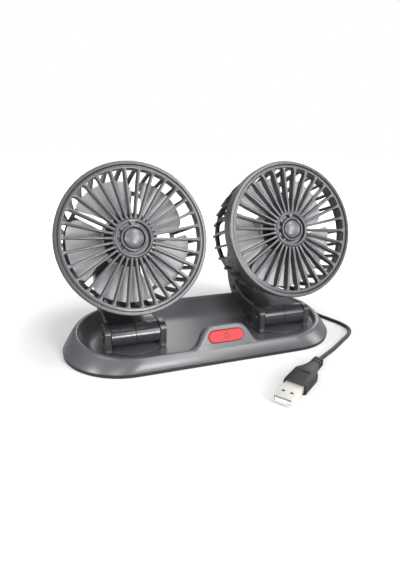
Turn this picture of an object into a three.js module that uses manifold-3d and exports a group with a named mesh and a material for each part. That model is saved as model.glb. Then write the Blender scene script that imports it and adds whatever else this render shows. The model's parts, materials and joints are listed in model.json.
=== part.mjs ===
// Dual head car fan: a low dished base with a red push button in its front wall, two turntables
// with hinged arms, two round fan heads with radial grilles, and a USB lead on the table.
// Millimetres, +Z up, the front faces -Y. The origin is the middle of the underside of the base.
import * as THREE from 'three';
import { mergeVertices } from 'three/addons/utils/BufferGeometryUtils.js';
import Module from 'manifold-3d';

const wasm = await Module();
wasm.setup();

// The base
const HEAD_SPACING = 117.4;
const FLOOR_END_REACH = 28.8;
const FLOOR_HALF_LENGTH = HEAD_SPACING / 2 + FLOOR_END_REACH;
const TRAY_END_RUN = 10.5;
const RIM_HALF_LENGTH = FLOOR_HALF_LENGTH + TRAY_END_RUN;
const WALL_END_RUN = 9;
const BASE_HALF_LENGTH = RIM_HALF_LENGTH + WALL_END_RUN;
const BASE_HALF_WIDTH = 44.6;
const SHELL_FOOT_HEIGHT = 3.2;
const RIM_HALF_WIDTH = 42.2;
const RIM_SHIFT = 0.9;
const RIM_MID_HEIGHT = 16.1;
const RIM_RISE_SHARE = 0.095;
const RIM_LAND = 2.2;
const RIM_ROUNDING = 0.9;
const WALL_BULGE = 0.5;
const FLOOR_HEIGHT = 9.5;
const FLOOR_HALF_WIDTH = 25.6;
const FLOOR_SHIFT = -11.2;
const SHELL_WALL = 2.1;
const PAD_THICKNESS = 0.9;
const PAD_INSET = 5;
const PLATE_TOP = 2.9;
const PLATE_INSET = 0.8;
const LIP_INSET = 3.4;
const LIP_THICKNESS = 1.4;
const LIP_TOP = 4.6;
const SCREW_END_REACH = 23.3;
const SCREW_FRONT = 11;
const SCREW_MID_REACH = 26;
const SCREW_BACK = 8;
const BOSS_RADIUS = 3.4;
const BASE_SCREW_RADIUS = 1.2;
const BASE_SCREW_HEAD_RADIUS = 2.5;
const BASE_SCREW_HEAD_DEPTH = 0.8;
const BASE_SCREW_HEAD_LOW = 1.1;
const BASE_SCREW_TIP = 7;

// The push button and the raised part of the front wall round it
const HUMP_LEAN = 20.1;
const HUMP_SHIFT = 2.3;
const HUMP_START = 5;
const HUMP_FOOT = 9.7;
const HUMP_TOP = 25;
const HUMP_FOOT_HALF_WIDTH = 23.2;
const HUMP_TOP_HALF_WIDTH = 14.2;
const HUMP_FOOT_FILLET = 6;
const HUMP_TOP_FILLET = 5;
const HUMP_SKIRT = 4;
const HUMP_DEPTH = 7.5;
const HUMP_FRONT_WALL = 1.8;
const HUMP_BACK_WALL = 1.5;
const HUMP_BEVEL = 0.9;
const BUTTON_LENGTH = 26.4;
const BUTTON_WIDTH = 8.4;
const BUTTON_RISE = 16.9;
const BUTTON_STAND = 0.9;
const BUTTON_EDGE = 0.5;
const BUTTON_FLANGE = 0.55;
const BUTTON_FLANGE_THICKNESS = 1;
const BUTTON_TRAVEL = 1;
const BUTTON_PLAY = 0.2;
const SWITCH_WIDTH = 6.4;
const SWITCH_HEIGHT = 6;
const SWITCH_THICKNESS = 1.1;
const BOARD_LENGTH = 30;
const BOARD_WIDTH = 14;
const BOARD_THICKNESS = 1.2;
const BOARD_BACK = -14;
const BOARD_POST_RADIUS = 2;
const BOARD_POST_SPACING = 20;
const BOARD_POST_TOP = 4.2;

// The turntables and hinges
const SWIVEL_BACK = -8.5;
const TURNTABLE_RADIUS = 22.3;
const TURNTABLE_LOW = 9.8;
const TURNTABLE_TOP = 10.8;
const STEM_RADIUS = 9;
const STEM_LOW = 6.9;
const SPIGOT_RADIUS = 5.3;
const SPIGOT_LOW = 5;
const WIRE_BORE = 3.4;
const RETAINER_RADIUS = 13;
const RETAINER_LOW = 5;
const RETAINER_TOP = 6.6;
const SWIVEL_SCREW_REACH = 7.3;
const SWIVEL_SCREW_RADIUS = 0.8;
const SWIVEL_SCREW_HEAD = 1.6;
const SWIVEL_SCREW_LOW = 3.8;
const SWIVEL_SCREW_SEAT = 4.7;
const SWIVEL_SCREW_TIP = 9;
const HINGE_FORWARD = 7.8;
const HINGE_HEIGHT = 19.5;
const BARREL_RADIUS = 7.8;
const BARREL_HALF_LENGTH = 16.9;
const EAR_THICKNESS = 4.4;
const EAR_HALF_DEPTH = 7.9;
const EAR_LOW = 10;
const EAR_BEVEL = 0.5;
const EAR_CORNER = 4.6;
const PIN_RADIUS = 2.5;
const PIN_HEAD_RADIUS = 3.6;
const PIN_HEAD_THICKNESS = 0.8;

// The hinged arms, as [back, up] from the hinge
const HEAD_TILT = 19.2;
const ARM_FRONT_EDGE = [
  [0, 7.8], [6, 8.9], [15, 11.4], [24, 15], [31.5, 19.2], [36.2, 24.5], [39, 32], [40.2, 42], [40.4, 55],
  [40.4, 66], [40.2, 74], [40, 80.6],
];
const ARM_BACK_EDGE = [
  [42.6, 80.6], [44.6, 74], [47.6, 66], [51.6, 56], [54.8, 45], [55.6, 37], [54.2, 28], [51.2, 20.8],
  [45, 11.6], [37, 4.6], [27, 0.2], [19, -2.4], [9, -5.4], [0, -7.8],
];
const ARM_HALF_WIDTH = 18.2;
const ARM_BEVEL = 1.2;
const ARM_WALL = 2;
const ARM_TOP_RISE = 62.4;
const ARM_HOLLOW_TOP = 67;
const EAR_CLEARING = 12.6;
const PIN_BOSS_RADIUS = 6.4;
const BOWL_PROFILE = [
  [25, 10.6], [28.2, 12.9], [29, 13.8], [31, 14.9], [34, 16.1], [38, 17.8], [42, 19.1], [46, 20.3],
  [50.5, 23.6],
];
const POD_RADIUS = 16;
const POD_LOW = 19.9;
const POD_HIGH = 41;
const POD_HOLLOW_HIGH = 38.4;
const ARM_SCREW_BACK = 43;
const ARM_SCREW_RISE = 23.8;
const ARM_SCREW_HOLE = 2.2;
const ARM_SCREW_BOSS = 3.4;
const ARM_SCREW_RADIUS = 1.1;
const ARM_SCREW_HEAD = 1.9;
const ARM_SCREW_HEAD_LOW = -9.5;
const ARM_SCREW_HEAD_TOP = -8;
const ARM_SCREW_TIP = 8;

// The fan heads, as [radius, height] from the middle of the front rim with +height to the front
const FAN_RISE = 63.8;
const FAN_FORWARD = 29.7;
const CAGE_BAND = [
  [47.7, 0], [49.4, 0], [50, -0.8], [50, -8], [49.5, -11], [46.4, -11], [46.4, -4], [47.7, -4], [47.7, 0],
];
const FIN_OUTER_EDGE = [[43.4, -48.8], [47.2, -31], [49.3, -9.5]];
const FIN_INNER_EDGE = [[40.2, -47], [44, -29], [46.8, -9.5]];
const FIN_COUNT = 30;
const FIN_THICKNESS = 1.8;
const FIN_FIRST_DEGREES = 9;
const REAR_RING = [[38.8, -49.2], [41.6, -49.2], [41.6, -46], [38.8, -46], [38.8, -49.2]];
const CAGE_CUP = [
  [0, -49.2], [16, -49.2], [16, -38], [14.4, -38], [14.4, -47.4], [4, -47.4], [4, -44], [0, -44],
];
const STRUT_COUNT = 5;
const STRUT_FIRST = 75;
const STRUT_OUTLINE = [[15, -2.4], [39.6, -1.4], [39.6, 1.4], [15, 2.4]];
const STRUT_LOW = -48.8;
const STRUT_DEPTH = 2.6;
const GRILLE_RING = [
  [45.1, -5.5], [46, -5.5], [46, -3.7], [47.4, -3.7], [47.4, -0.7], [45.3, -0.5], [45.1, -0.7], [45.1, -5.5],
];
const SPOKE_COUNT = 30;
const SPOKE_FIRST_DEGREES = 8.2;
const SPOKE_THICKNESS = 1.7;
const SPOKE_OUTLINE = [[12.6, -1.5], [45.5, -0.9], [45.5, -5.3], [38, -7.2], [12.6, -6.5]];
const GRILLE_HUB = [
  [0, -6.8], [13.2, -6.8], [13.2, -1], [12, -0.4], [11.3, -1.9], [9, -1.9], [8.5, 0.2], [7.2, 0.2],
  [7.2, -3.2], [0, -3.2],
];
const HUB_CAP = [[0, -2.9], [6.9, -2.9], [6.9, 0.1], [6.2, 0.8], [4, 1.6], [0, 2]];
const ROTOR_CUP = [
  [1.8, -14.8], [1.8, -12.4], [17.4, -12.4], [17.4, -30], [15.8, -30], [15.8, -14.8], [1.8, -14.8],
];
const STATOR = [[1.9, -43.6], [7.5, -43.6], [7.5, -32], [13.4, -32], [13.4, -17], [1.9, -17], [1.9, -43.6]];
const SHAFT_RADIUS = 1.5;
const SHAFT_LOW = -43.2;
const SHAFT_TOP = -12.8;
const BLADE_SLEEVE = [[17.8, -26.6], [18.9, -26.6], [18.9, -12.9], [17.8, -12.9], [17.8, -26.6]];
const BLADE_COUNT = 5;
const BLADE_FIRST_DEGREES = 40;
const BLADE_RADII = [18.3, 25, 34.4, 39.4, 41.5];
const BLADE_SPAN_DEGREES = [47, 58, 65, 61, 45];
const BLADE_LEAN_DEGREES = [0, -1, 1, 4, 6];
const BLADE_HEIGHTS = [10.5, 9.5, 7.6, 6, 4.4];
const BLADE_MIDDLE = -18;
const BLADE_THICKNESS = 1.1;
const BLADE_CAMBER = 1.6;

// The USB plug lying in front and its lead
const PLUG_X = 11;
const PLUG_Y = -103.4;
const PLUG_TURN = 35;
const PLUG_HEIGHT = 4.1;
const PLUG_SHELL_WIDTH = 12;
const PLUG_SHELL_HEIGHT = 4.5;
const PLUG_SHELL_WALL = 0.4;
const PLUG_SHELL_LENGTH = 21.5;
const PLUG_EXPOSED = 18.5;
const PLUG_WINDOW = 2.3;
const PLUG_WINDOW_START = 6.2;
const PLUG_WINDOW_OFFSET = 2.8;
const TONGUE_WIDTH = 10.4;
const TONGUE_HEIGHT = 1.5;
const TONGUE_START = 0.8;
const TONGUE_END = 20.5;
const PLUG_STATIONS = [0, 0.7, 19.5, 23.5, 28, 31.5, 34.4, 34.6, 35.8, 36, 38.2, 38.4, 39.8, 40, 42.6, 43];
const PLUG_HALF_WIDTHS = [7.5, 8, 8, 5.9, 4.4, 3.8, 3.6, 2.6, 2.6, 3.6, 3.5, 2.5, 2.5, 3.5, 3.4, 3];
const PLUG_HALF_HEIGHTS = [3.6, 4, 4, 3.8, 3.5, 3.3, 3.2, 2.4, 2.4, 3.2, 3.2, 2.3, 2.3, 3.2, 3.1, 2.8];
const PLUG_RECESS_START = 3.4;
const PLUG_RECESS_LENGTH = 12.6;
const PLUG_RECESS_WIDTH = 8.4;
const PLUG_RECESS_DEPTH = 0.4;
const CORD_RADIUS = 1.5;
const CORD_LIFT = 1.6;
const CORD_STEP = 6.6;
const GLAND_X = 58;
const GLAND_HEIGHT = 8.2;
const GLAND_PROFILE = [
  [0, 40.2], [3.4, 40.2], [3.4, 41.3], [2.7, 41.3], [2.7, 45.4], [3.6, 45.4], [3.4, 47], [2.9, 49],
  [2.3, 49.3], [2.3, 50], [2.7, 50.3], [2.1, 57], [0, 57],
];
const GLAND_HOLE = 3;
const COIL_X = 88;
const COIL_Y = 70;
const COIL_OUTER = 22.6;
const COIL_PITCH = 3.6;
const COIL_RISE = 3.5;
const COIL_ENTRY = 165;
const COIL_EXIT = 0;
const COIL_WHOLE_LOOPS = 6;
const COIL_CROSSING = 0.5;
const COIL_STEPS = 24;
const NEAR_ROUTE = [[58, 60.6, 8.2], [58.4, 64.6, 6.4], [60, 69.4, 3]];
const FAR_ROUTE = [
  [113.3, 58, 4.2], [112.8, 48, 2.3], [112.4, 36, 1.6], [112.8, 22, 1.6], [115.4, 8, 1.6], [119.6, -4, 1.6],
  [122.8, -14, 1.6], [121.8, -24, 1.6], [115, -32.6, 1.6], [102, -41.4, 1.6], [86, -51.9, 1.8],
  [74, -59.6, 3],
];

// Clearances between pieces
const SEAT_GAP = 0.3;
const RUNNING_GAP = 0.4;
const OVERRUN = 30;
const WELD = 0.4;

// How finely curves are divided
const END_STEPS = 12;
const ROUND_STEPS = 60;
const PIN_STEPS = 10;
const HOLE_STEPS = 8;
const HUB_STEPS = 30;
const TABLE_STEPS = 26;
const MOTOR_STEPS = 16;
const TUBE_SIDES = 8;
const BLADE_STEPS = 3;
const PLUG_CORNER_STEPS = 2;
const PLUG_CORNER_SHARE = 0.42;
const TRAY_POWER = 2.2;
const TRAY_UNDER_SHARES = [1, 0.6, 0.2];
const TRAY_SHARES = [0.04, 0.16, 0.3, 0.46, 0.66, 1];
const WALL_SHARES = [0, 0.45, 0.93];
const WALL_TOP_SHARE = 0.72;

// Finishes seen in daylight
const FINISHES = {
  base: { color: 0x77777a, roughness: 0.45, metalness: 0 },
  plate: { color: 0x3b3b3e, roughness: 0.6, metalness: 0 },
  rubber: { color: 0x1d1d1f, roughness: 0.9, metalness: 0 },
  hinge: { color: 0x3f3f42, roughness: 0.4, metalness: 0 },
  cage: { color: 0x66666a, roughness: 0.45, metalness: 0 },
  grille: { color: 0x6b6b70, roughness: 0.4, metalness: 0 },
  cap: { color: 0x77777c, roughness: 0.3, metalness: 0.2 },
  blade: { color: 0xb4b4b7, roughness: 0.5, metalness: 0 },
  rotor: { color: 0x161617, roughness: 0.5, metalness: 0 },
  steel: { color: 0xb9babd, roughness: 0.3, metalness: 1 },
  button: { color: 0xf4545c, roughness: 0.4, metalness: 0 },
  board: { color: 0x1f5d39, roughness: 0.6, metalness: 0 },
  lead: { color: 0x18181a, roughness: 0.6, metalness: 0 },
  nickel: { color: 0xd6d7d9, roughness: 0.25, metalness: 1 },
  tongue: { color: 0xf2f2f0, roughness: 0.5, metalness: 0 },
};

const part = new THREE.Group();

function material(finish) {
  return new THREE.MeshStandardMaterial({ ...FINISHES[finish], name: finish });
}

// Welds a geometry, drops its flat corners and turns its faces outward
function bare(geometry) {
  const copy = geometry.index ? geometry.toNonIndexed() : geometry.clone();
  copy.deleteAttribute('normal');
  copy.deleteAttribute('uv');
  const welded = mergeVertices(copy);
  const spot = (corner) => new THREE.Vector3().fromBufferAttribute(welded.attributes.position, corner);
  const faces = [];
  let volume = 0;
  for (let i = 0; i < welded.index.count; i += 3) {
    const [a, b, c] = [0, 1, 2].map((corner) => welded.index.getX(i + corner));
    if (a !== b && b !== c && c !== a) faces.push([a, b, c]);
    volume += spot(a).dot(spot(b).cross(spot(c)));
  }
  welded.setIndex(faces.flatMap(([a, b, c]) => (volume < 0 ? [a, c, b] : [a, b, c])));
  return welded;
}

function solid(geometry) {
  const merged = bare(geometry);
  const mesh = new wasm.Mesh({
    numProp: 3,
    vertProperties: merged.attributes.position.array,
    triVerts: new Uint32Array(merged.index.array),
  });
  return new wasm.Manifold(mesh);
}

function shellOf(body) {
  const mesh = body.getMesh();
  const geometry = new THREE.BufferGeometry();
  geometry.setAttribute('position', new THREE.BufferAttribute(mesh.vertProperties, 3));
  geometry.setIndex(new THREE.BufferAttribute(mesh.triVerts, 1));
  return geometry.toNonIndexed();
}

function place(parent, name, shape, finish) {
  const geometry = shape.isBufferGeometry ? bare(shape).toNonIndexed() : shellOf(shape);
  geometry.computeVertexNormals();
  const mesh = new THREE.Mesh(geometry, material(finish));
  mesh.name = name;
  parent.add(mesh);
  return mesh;
}

function degrees(angle) {
  return THREE.MathUtils.degToRad(angle);
}

// A revolve about the Z axis of a profile of [radius, height] pairs
function turned(profile, segments) {
  const points = profile.map(([radius, height]) => new THREE.Vector2(radius, height));
  const geometry = new THREE.LatheGeometry(points, segments);
  geometry.rotateX(degrees(90));
  return geometry;
}

function tube(inner, outer, low, high, segments) {
  return turned([[inner, low], [outer, low], [outer, high], [inner, high], [inner, low]], segments);
}

function rod(radius, low, high, segments) {
  return turned([[0, low], [radius, low], [radius, high], [0, high]], segments);
}

function prism(shape, depth, curveSegments) {
  return new THREE.ExtrudeGeometry(shape, { depth, bevelEnabled: false, curveSegments });
}

function union(bodies) {
  return bodies.reduce((whole, body) => whole.add(body));
}

// A closed skin over a row of rings that all have the same number of points
function loft(rings) {
  const count = rings[0].length;
  const corners = rings.flat();
  const faces = [];
  for (let row = 0; row < rings.length - 1; row += 1) {
    for (let i = 0; i < count; i += 1) {
      const next = (i + 1) % count;
      const a = row * count + i;
      const b = row * count + next;
      faces.push(a, b, b + count, a, b + count, a + count);
    }
  }
  const last = (rings.length - 1) * count;
  for (let i = 1; i < count - 1; i += 1) {
    faces.push(0, i + 1, i);
    faces.push(last, last + i, last + i + 1);
  }
  const geometry = new THREE.BufferGeometry();
  const flat = corners.flatMap((corner) => [corner.x, corner.y, corner.z]);
  geometry.setAttribute('position', new THREE.Float32BufferAttribute(flat, 3));
  geometry.setIndex(faces);
  return geometry;
}

function ringPoints(halfLength, halfWidth, shift, heightAt) {
  const reach = halfLength - halfWidth;
  const points = [];
  for (const side of [1, -1]) {
    for (let step = 0; step <= END_STEPS; step += 1) {
      const turn = degrees(180 * (step / END_STEPS - 0.5));
      const x = side * (reach + halfWidth * Math.cos(turn));
      const y = side * halfWidth * Math.sin(turn) + shift;
      points.push(new THREE.Vector3(x, y, heightAt(y)));
    }
  }
  return points;
}

function mix(from, to, share) {
  return from + (to - from) * share;
}

function rimHeight(y) {
  return RIM_MID_HEIGHT + RIM_RISE_SHARE * y;
}

function wallRing(share, inset) {
  const bulge = WALL_BULGE * 4 * share * (1 - share) - inset;
  const halfLength = mix(BASE_HALF_LENGTH, RIM_HALF_LENGTH, share) + bulge;
  const halfWidth = mix(BASE_HALF_WIDTH, RIM_HALF_WIDTH, share) + bulge;
  const heightAt = (y) => mix(SHELL_FOOT_HEIGHT, rimHeight(y), share);
  return ringPoints(halfLength, halfWidth, RIM_SHIFT * share, heightAt);
}

function rimRing(inset, drop) {
  return ringPoints(RIM_HALF_LENGTH - inset, RIM_HALF_WIDTH - inset, RIM_SHIFT, (y) => rimHeight(y) - drop);
}

// The middle of each of the four screws that hold the plate under the shell
function screwSpots() {
  const ends = HEAD_SPACING / 2 + SCREW_END_REACH;
  return [-1, 1].flatMap((side) => [[side * ends, -SCREW_FRONT], [side * SCREW_MID_REACH, SCREW_BACK]]);
}

// The concave wall of the tray at a share of its run, taken at a depth below its surface
function trayRing(share, depth) {
  const rim = rimRing(RIM_LAND, 0);
  const floor = ringPoints(FLOOR_HALF_LENGTH, FLOOR_HALF_WIDTH, FLOOR_SHIFT, () => FLOOR_HEIGHT);
  return rim.map((top, i) => {
    const foot = floor[i];
    const fall = top.z - foot.z;
    const run = Math.hypot(top.x - foot.x, top.y - foot.y);
    const slope = TRAY_POWER * (1 - share) ** (TRAY_POWER - 1) * fall / run;
    const size = Math.hypot(1, slope);
    const point = foot.clone().lerp(top, 1 - share);
    point.z = foot.z + fall * (1 - share) ** TRAY_POWER - depth / size;
    point.x += (top.x - foot.x) / run * depth * slope / size;
    point.y += (top.y - foot.y) / run * depth * slope / size;
    return point;
  });
}

function dishSkin() {
  const rings = TRAY_UNDER_SHARES.map((share) => trayRing(share, SHELL_WALL));
  rings.push(wallRing(WALL_TOP_SHARE, SHELL_WALL));
  rings.push(wallRing(0, SHELL_WALL));
  WALL_SHARES.forEach((share) => rings.push(wallRing(share, 0)));
  rings.push(rimRing(RIM_ROUNDING * 0.3, RIM_ROUNDING * 0.3));
  rings.push(rimRing(RIM_ROUNDING, 0));
  rings.push(rimRing(RIM_LAND - RIM_ROUNDING * 0.4, 0));
  TRAY_SHARES.forEach((share) => rings.push(trayRing(share, 0)));
  return loft(rings);
}

function screwBosses() {
  const bosses = screwSpots().map(([x, y]) => {
    const bore = BASE_SCREW_RADIUS + SEAT_GAP;
    const boss = tube(bore, BOSS_RADIUS, PLATE_TOP + SEAT_GAP, FLOOR_HEIGHT - WELD, HOLE_STEPS);
    return solid(boss.translate(x, y, 0));
  });
  return union(bosses);
}

// Turns a piece made in the plane of the sloped front wall into its place
function onFrontWall(geometry) {
  geometry.rotateX(degrees(90 - HUMP_LEAN));
  return geometry.translate(HUMP_SHIFT, -BASE_HALF_WIDTH, SHELL_FOOT_HEIGHT);
}

function filleted(corners, radii) {
  const shape = new THREE.Shape();
  corners.forEach((corner, i) => {
    const before = corners[(i + corners.length - 1) % corners.length];
    const after = corners[(i + 1) % corners.length];
    const entry = corner.clone().add(before.clone().sub(corner).setLength(radii[i]));
    const exit = corner.clone().add(after.clone().sub(corner).setLength(radii[i]));
    if (i === 0) shape.moveTo(entry.x, entry.y);
    else shape.lineTo(entry.x, entry.y);
    shape.quadraticCurveTo(corner.x, corner.y, exit.x, exit.y);
  });
  shape.closePath();
  return shape;
}

function humpOutline(inset, low) {
  const foot = HUMP_FOOT_HALF_WIDTH - inset;
  const top = HUMP_TOP_HALF_WIDTH - inset;
  const skirt = foot + HUMP_SKIRT;
  const crown = HUMP_TOP - inset;
  const corners = [
    [-skirt, low], [skirt, low], [skirt, HUMP_FOOT - inset], [foot, HUMP_FOOT - inset], [top, crown],
    [-top, crown], [-foot, HUMP_FOOT - inset], [-skirt, HUMP_FOOT - inset],
  ];
  const edge = WELD;
  const foots = HUMP_FOOT_FILLET;
  const tops = HUMP_TOP_FILLET;
  const radii = [edge, edge, edge, foots / 2, tops, tops, foots / 2, edge];
  return filleted(corners.map(([x, y]) => new THREE.Vector2(x, y)), radii);
}

function humpBody() {
  const block = new THREE.ExtrudeGeometry(humpOutline(HUMP_BEVEL, HUMP_START), {
    depth: HUMP_DEPTH - HUMP_BEVEL * 2,
    bevelThickness: HUMP_BEVEL,
    bevelSize: HUMP_BEVEL,
    bevelSegments: 2,
    curveSegments: 4,
  });
  return solid(onFrontWall(block.translate(0, 0, HUMP_BEVEL - HUMP_DEPTH)));
}

function humpHollow() {
  const depth = HUMP_DEPTH - HUMP_FRONT_WALL - HUMP_BACK_WALL;
  const hollow = prism(humpOutline(HUMP_FRONT_WALL, WELD), depth, 4);
  return solid(onFrontWall(hollow.translate(0, 0, HUMP_BACK_WALL - HUMP_DEPTH)));
}

function pill(length, width) {
  const radius = width / 2;
  const reach = length / 2 - radius;
  const shape = new THREE.Shape();
  shape.absarc(reach, 0, radius, degrees(-90), degrees(90), false);
  shape.absarc(-reach, 0, radius, degrees(90), degrees(270), false);
  shape.closePath();
  return shape;
}

function buttonHole() {
  const outline = pill(BUTTON_LENGTH + BUTTON_PLAY * 2, BUTTON_WIDTH + BUTTON_PLAY * 2);
  const hole = prism(outline, HUMP_FRONT_WALL + WELD * 2, 6);
  return solid(onFrontWall(hole.translate(0, BUTTON_RISE, -HUMP_FRONT_WALL - WELD)));
}

function baseShell() {
  const stems = [-1, 1].map((side) => {
    const hole = rod(STEM_RADIUS + RUNNING_GAP, STEM_LOW - WELD, TURNTABLE_TOP, MOTOR_STEPS);
    return solid(hole.translate(side * HEAD_SPACING / 2, SWIVEL_BACK, 0));
  });
  const glandHole = rod(GLAND_HOLE, 0, OVERRUN, PIN_STEPS).rotateX(degrees(-90));
  glandHole.translate(GLAND_X, BASE_HALF_WIDTH - OVERRUN / 4, GLAND_HEIGHT);
  let shell = solid(dishSkin()).add(screwBosses()).add(humpBody());
  shell = shell.subtract(humpHollow()).subtract(buttonHole());
  shell = shell.subtract(union(stems)).subtract(solid(glandHole));
  return shell;
}

function powerButton() {
  const face = pill(BUTTON_LENGTH - BUTTON_EDGE * 2, BUTTON_WIDTH - BUTTON_EDGE * 2);
  const cap = new THREE.ExtrudeGeometry(face, {
    depth: HUMP_FRONT_WALL + BUTTON_STAND + WELD,
    bevelThickness: BUTTON_EDGE,
    bevelSize: BUTTON_EDGE,
    bevelSegments: 1,
    curveSegments: 6,
  });
  cap.translate(0, 0, -HUMP_FRONT_WALL - WELD - BUTTON_EDGE);
  const flangeLength = BUTTON_LENGTH + BUTTON_FLANGE * 2;
  const flange = prism(pill(flangeLength, BUTTON_WIDTH + BUTTON_FLANGE * 2), BUTTON_FLANGE_THICKNESS, 4);
  flange.translate(0, 0, -HUMP_FRONT_WALL - SEAT_GAP - BUTTON_FLANGE_THICKNESS);
  return solid(cap).add(solid(flange));
}

function powerSwitch() {
  const body = prism(pill(SWITCH_WIDTH, SWITCH_HEIGHT), SWITCH_THICKNESS, 6);
  return body.translate(0, 0, HUMP_BACK_WALL + SEAT_GAP - HUMP_DEPTH);
}

function basePlate() {
  const flat = (height) => () => height;
  const outer = [PLATE_INSET, PLATE_INSET];
  const heights = [PAD_THICKNESS, PLATE_TOP];
  const slab = outer.map((inset, i) => {
    return ringPoints(BASE_HALF_LENGTH - inset, BASE_HALF_WIDTH - inset, 0, flat(heights[i]));
  });
  const ringAt = (inset, height) => {
    return ringPoints(BASE_HALF_LENGTH - inset, BASE_HALF_WIDTH - inset, 0, flat(height));
  };
  const lipOuter = loft([ringAt(LIP_INSET, PLATE_TOP - WELD), ringAt(LIP_INSET, LIP_TOP)]);
  const lipInset = LIP_INSET + LIP_THICKNESS;
  const lipInner = loft([ringAt(lipInset, PLATE_TOP), ringAt(lipInset, LIP_TOP + WELD)]);
  let plate = solid(loft(slab)).add(solid(lipOuter).subtract(solid(lipInner)));
  for (const side of [-1, 1]) {
    const post = rod(BOARD_POST_RADIUS, PLATE_TOP - WELD, BOARD_POST_TOP, HOLE_STEPS);
    plate = plate.add(solid(post.translate(side * BOARD_POST_SPACING / 2, BOARD_BACK, 0)));
  }
  for (const [x, y] of screwSpots()) {
    const hole = rod(BASE_SCREW_RADIUS + SEAT_GAP, PAD_THICKNESS - WELD, PLATE_TOP + WELD, HOLE_STEPS);
    const seatTop = BASE_SCREW_HEAD_LOW + BASE_SCREW_HEAD_DEPTH + SEAT_GAP;
    const seat = rod(BASE_SCREW_HEAD_RADIUS + SEAT_GAP, PAD_THICKNESS - WELD, seatTop, HOLE_STEPS);
    plate = plate.subtract(solid(hole.translate(x, y, 0))).subtract(solid(seat.translate(x, y, 0)));
  }
  return plate;
}

function slipPad() {
  const ringAt = (height) => {
    return ringPoints(BASE_HALF_LENGTH - PAD_INSET, BASE_HALF_WIDTH - PAD_INSET, 0, () => height);
  };
  let pad = solid(loft([ringAt(0), ringAt(PAD_THICKNESS - SEAT_GAP / 3)]));
  for (const [x, y] of screwSpots()) {
    const hole = rod(BASE_SCREW_HEAD_RADIUS + SEAT_GAP * 2, -WELD, PAD_THICKNESS + WELD, HOLE_STEPS);
    pad = pad.subtract(solid(hole.translate(x, y, 0)));
  }
  return pad;
}

// A pan head screw standing head down
function panScrew(shankRadius, headRadius, low, seat, tip) {
  const round = headRadius * 0.25;
  const profile = [
    [0, low], [headRadius - round, low], [headRadius, seat], [shankRadius, seat],
    [shankRadius, tip - shankRadius], [0, tip],
  ];
  return solid(turned(profile, HOLE_STEPS));
}

function cordGland() {
  const boot = turned(GLAND_PROFILE, PIN_STEPS).rotateX(degrees(-90));
  return boot.translate(GLAND_X, 0, GLAND_HEIGHT);
}

function addBase() {
  place(part, 'base_shell', baseShell(), 'base');
  place(part, 'base_plate', basePlate(), 'plate');
  place(part, 'anti_slip_pad', slipPad(), 'rubber');
  screwSpots().forEach(([x, y], i) => {
    const seat = BASE_SCREW_HEAD_LOW + BASE_SCREW_HEAD_DEPTH;
    const head = BASE_SCREW_HEAD_RADIUS;
    const body = panScrew(BASE_SCREW_RADIUS, head, BASE_SCREW_HEAD_LOW, seat, BASE_SCREW_TIP);
    const screw = place(part, `base_screw_${i + 1}`, body, 'steel');
    screw.position.set(x, y, 0);
  });
  const control = new THREE.Group();
  control.name = 'control';
  control.rotation.x = degrees(90 - HUMP_LEAN);
  control.position.set(HUMP_SHIFT, -BASE_HALF_WIDTH, SHELL_FOOT_HEIGHT);
  part.add(control);
  const button = place(control, 'power_button', powerButton(), 'button');
  button.position.set(0, BUTTON_RISE, 0);
  const push = place(control, 'power_switch', powerSwitch(), 'rotor');
  push.position.set(0, BUTTON_RISE, 0);
  const board = new THREE.BoxGeometry(BOARD_LENGTH, BOARD_WIDTH, BOARD_THICKNESS);
  const boardNode = place(part, 'circuit_board', board, 'board');
  boardNode.position.set(0, BOARD_BACK, BOARD_POST_TOP + SEAT_GAP + BOARD_THICKNESS / 2);
  place(part, 'cord_gland', cordGland(), 'lead');
}

// One ear: a flat foot, straight sides and a top with round corners, its outer edges eased
function hingeEar() {
  const reach = EAR_HALF_DEPTH - EAR_BEVEL;
  const corner = EAR_CORNER - EAR_BEVEL;
  const shape = new THREE.Shape();
  shape.moveTo(reach, EAR_LOW + EAR_BEVEL - HINGE_HEIGHT);
  shape.lineTo(reach, reach - corner);
  shape.absarc(reach - corner, reach - corner, corner, 0, degrees(90), false);
  shape.lineTo(corner - reach, reach);
  shape.absarc(corner - reach, reach - corner, corner, degrees(90), degrees(180), false);
  shape.lineTo(-reach, EAR_LOW + EAR_BEVEL - HINGE_HEIGHT);
  shape.closePath();
  const hole = new THREE.Path();
  hole.absarc(0, 0, PIN_RADIUS + SEAT_GAP + EAR_BEVEL, 0, degrees(360), true);
  shape.holes.push(hole);
  const ear = new THREE.ExtrudeGeometry(shape, {
    depth: EAR_THICKNESS - EAR_BEVEL * 2,
    bevelThickness: EAR_BEVEL,
    bevelSize: EAR_BEVEL,
    bevelSegments: 1,
    curveSegments: 4,
  });
  return ear.translate(0, 0, EAR_BEVEL);
}

function turntable() {
  const profile = [
    [WIRE_BORE, SPIGOT_LOW], [SPIGOT_RADIUS, SPIGOT_LOW], [SPIGOT_RADIUS, STEM_LOW], [STEM_RADIUS, STEM_LOW],
    [STEM_RADIUS, TURNTABLE_LOW], [TURNTABLE_RADIUS, TURNTABLE_LOW], [TURNTABLE_RADIUS, TURNTABLE_TOP],
    [WIRE_BORE, TURNTABLE_TOP], [WIRE_BORE, SPIGOT_LOW],
  ];
  let body = solid(turned(profile, TABLE_STEPS));
  for (const side of [-1, 1]) {
    body = body.add(solid(upright(hingeEar(), side)));
    const reach = side * SWIVEL_SCREW_REACH;
    const pilot = rod(SWIVEL_SCREW_RADIUS + SEAT_GAP, STEM_LOW - WELD, SWIVEL_SCREW_TIP + WELD, HOLE_STEPS);
    body = body.subtract(solid(pilot.translate(reach, 0, 0)));
  }
  return body;
}

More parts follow.
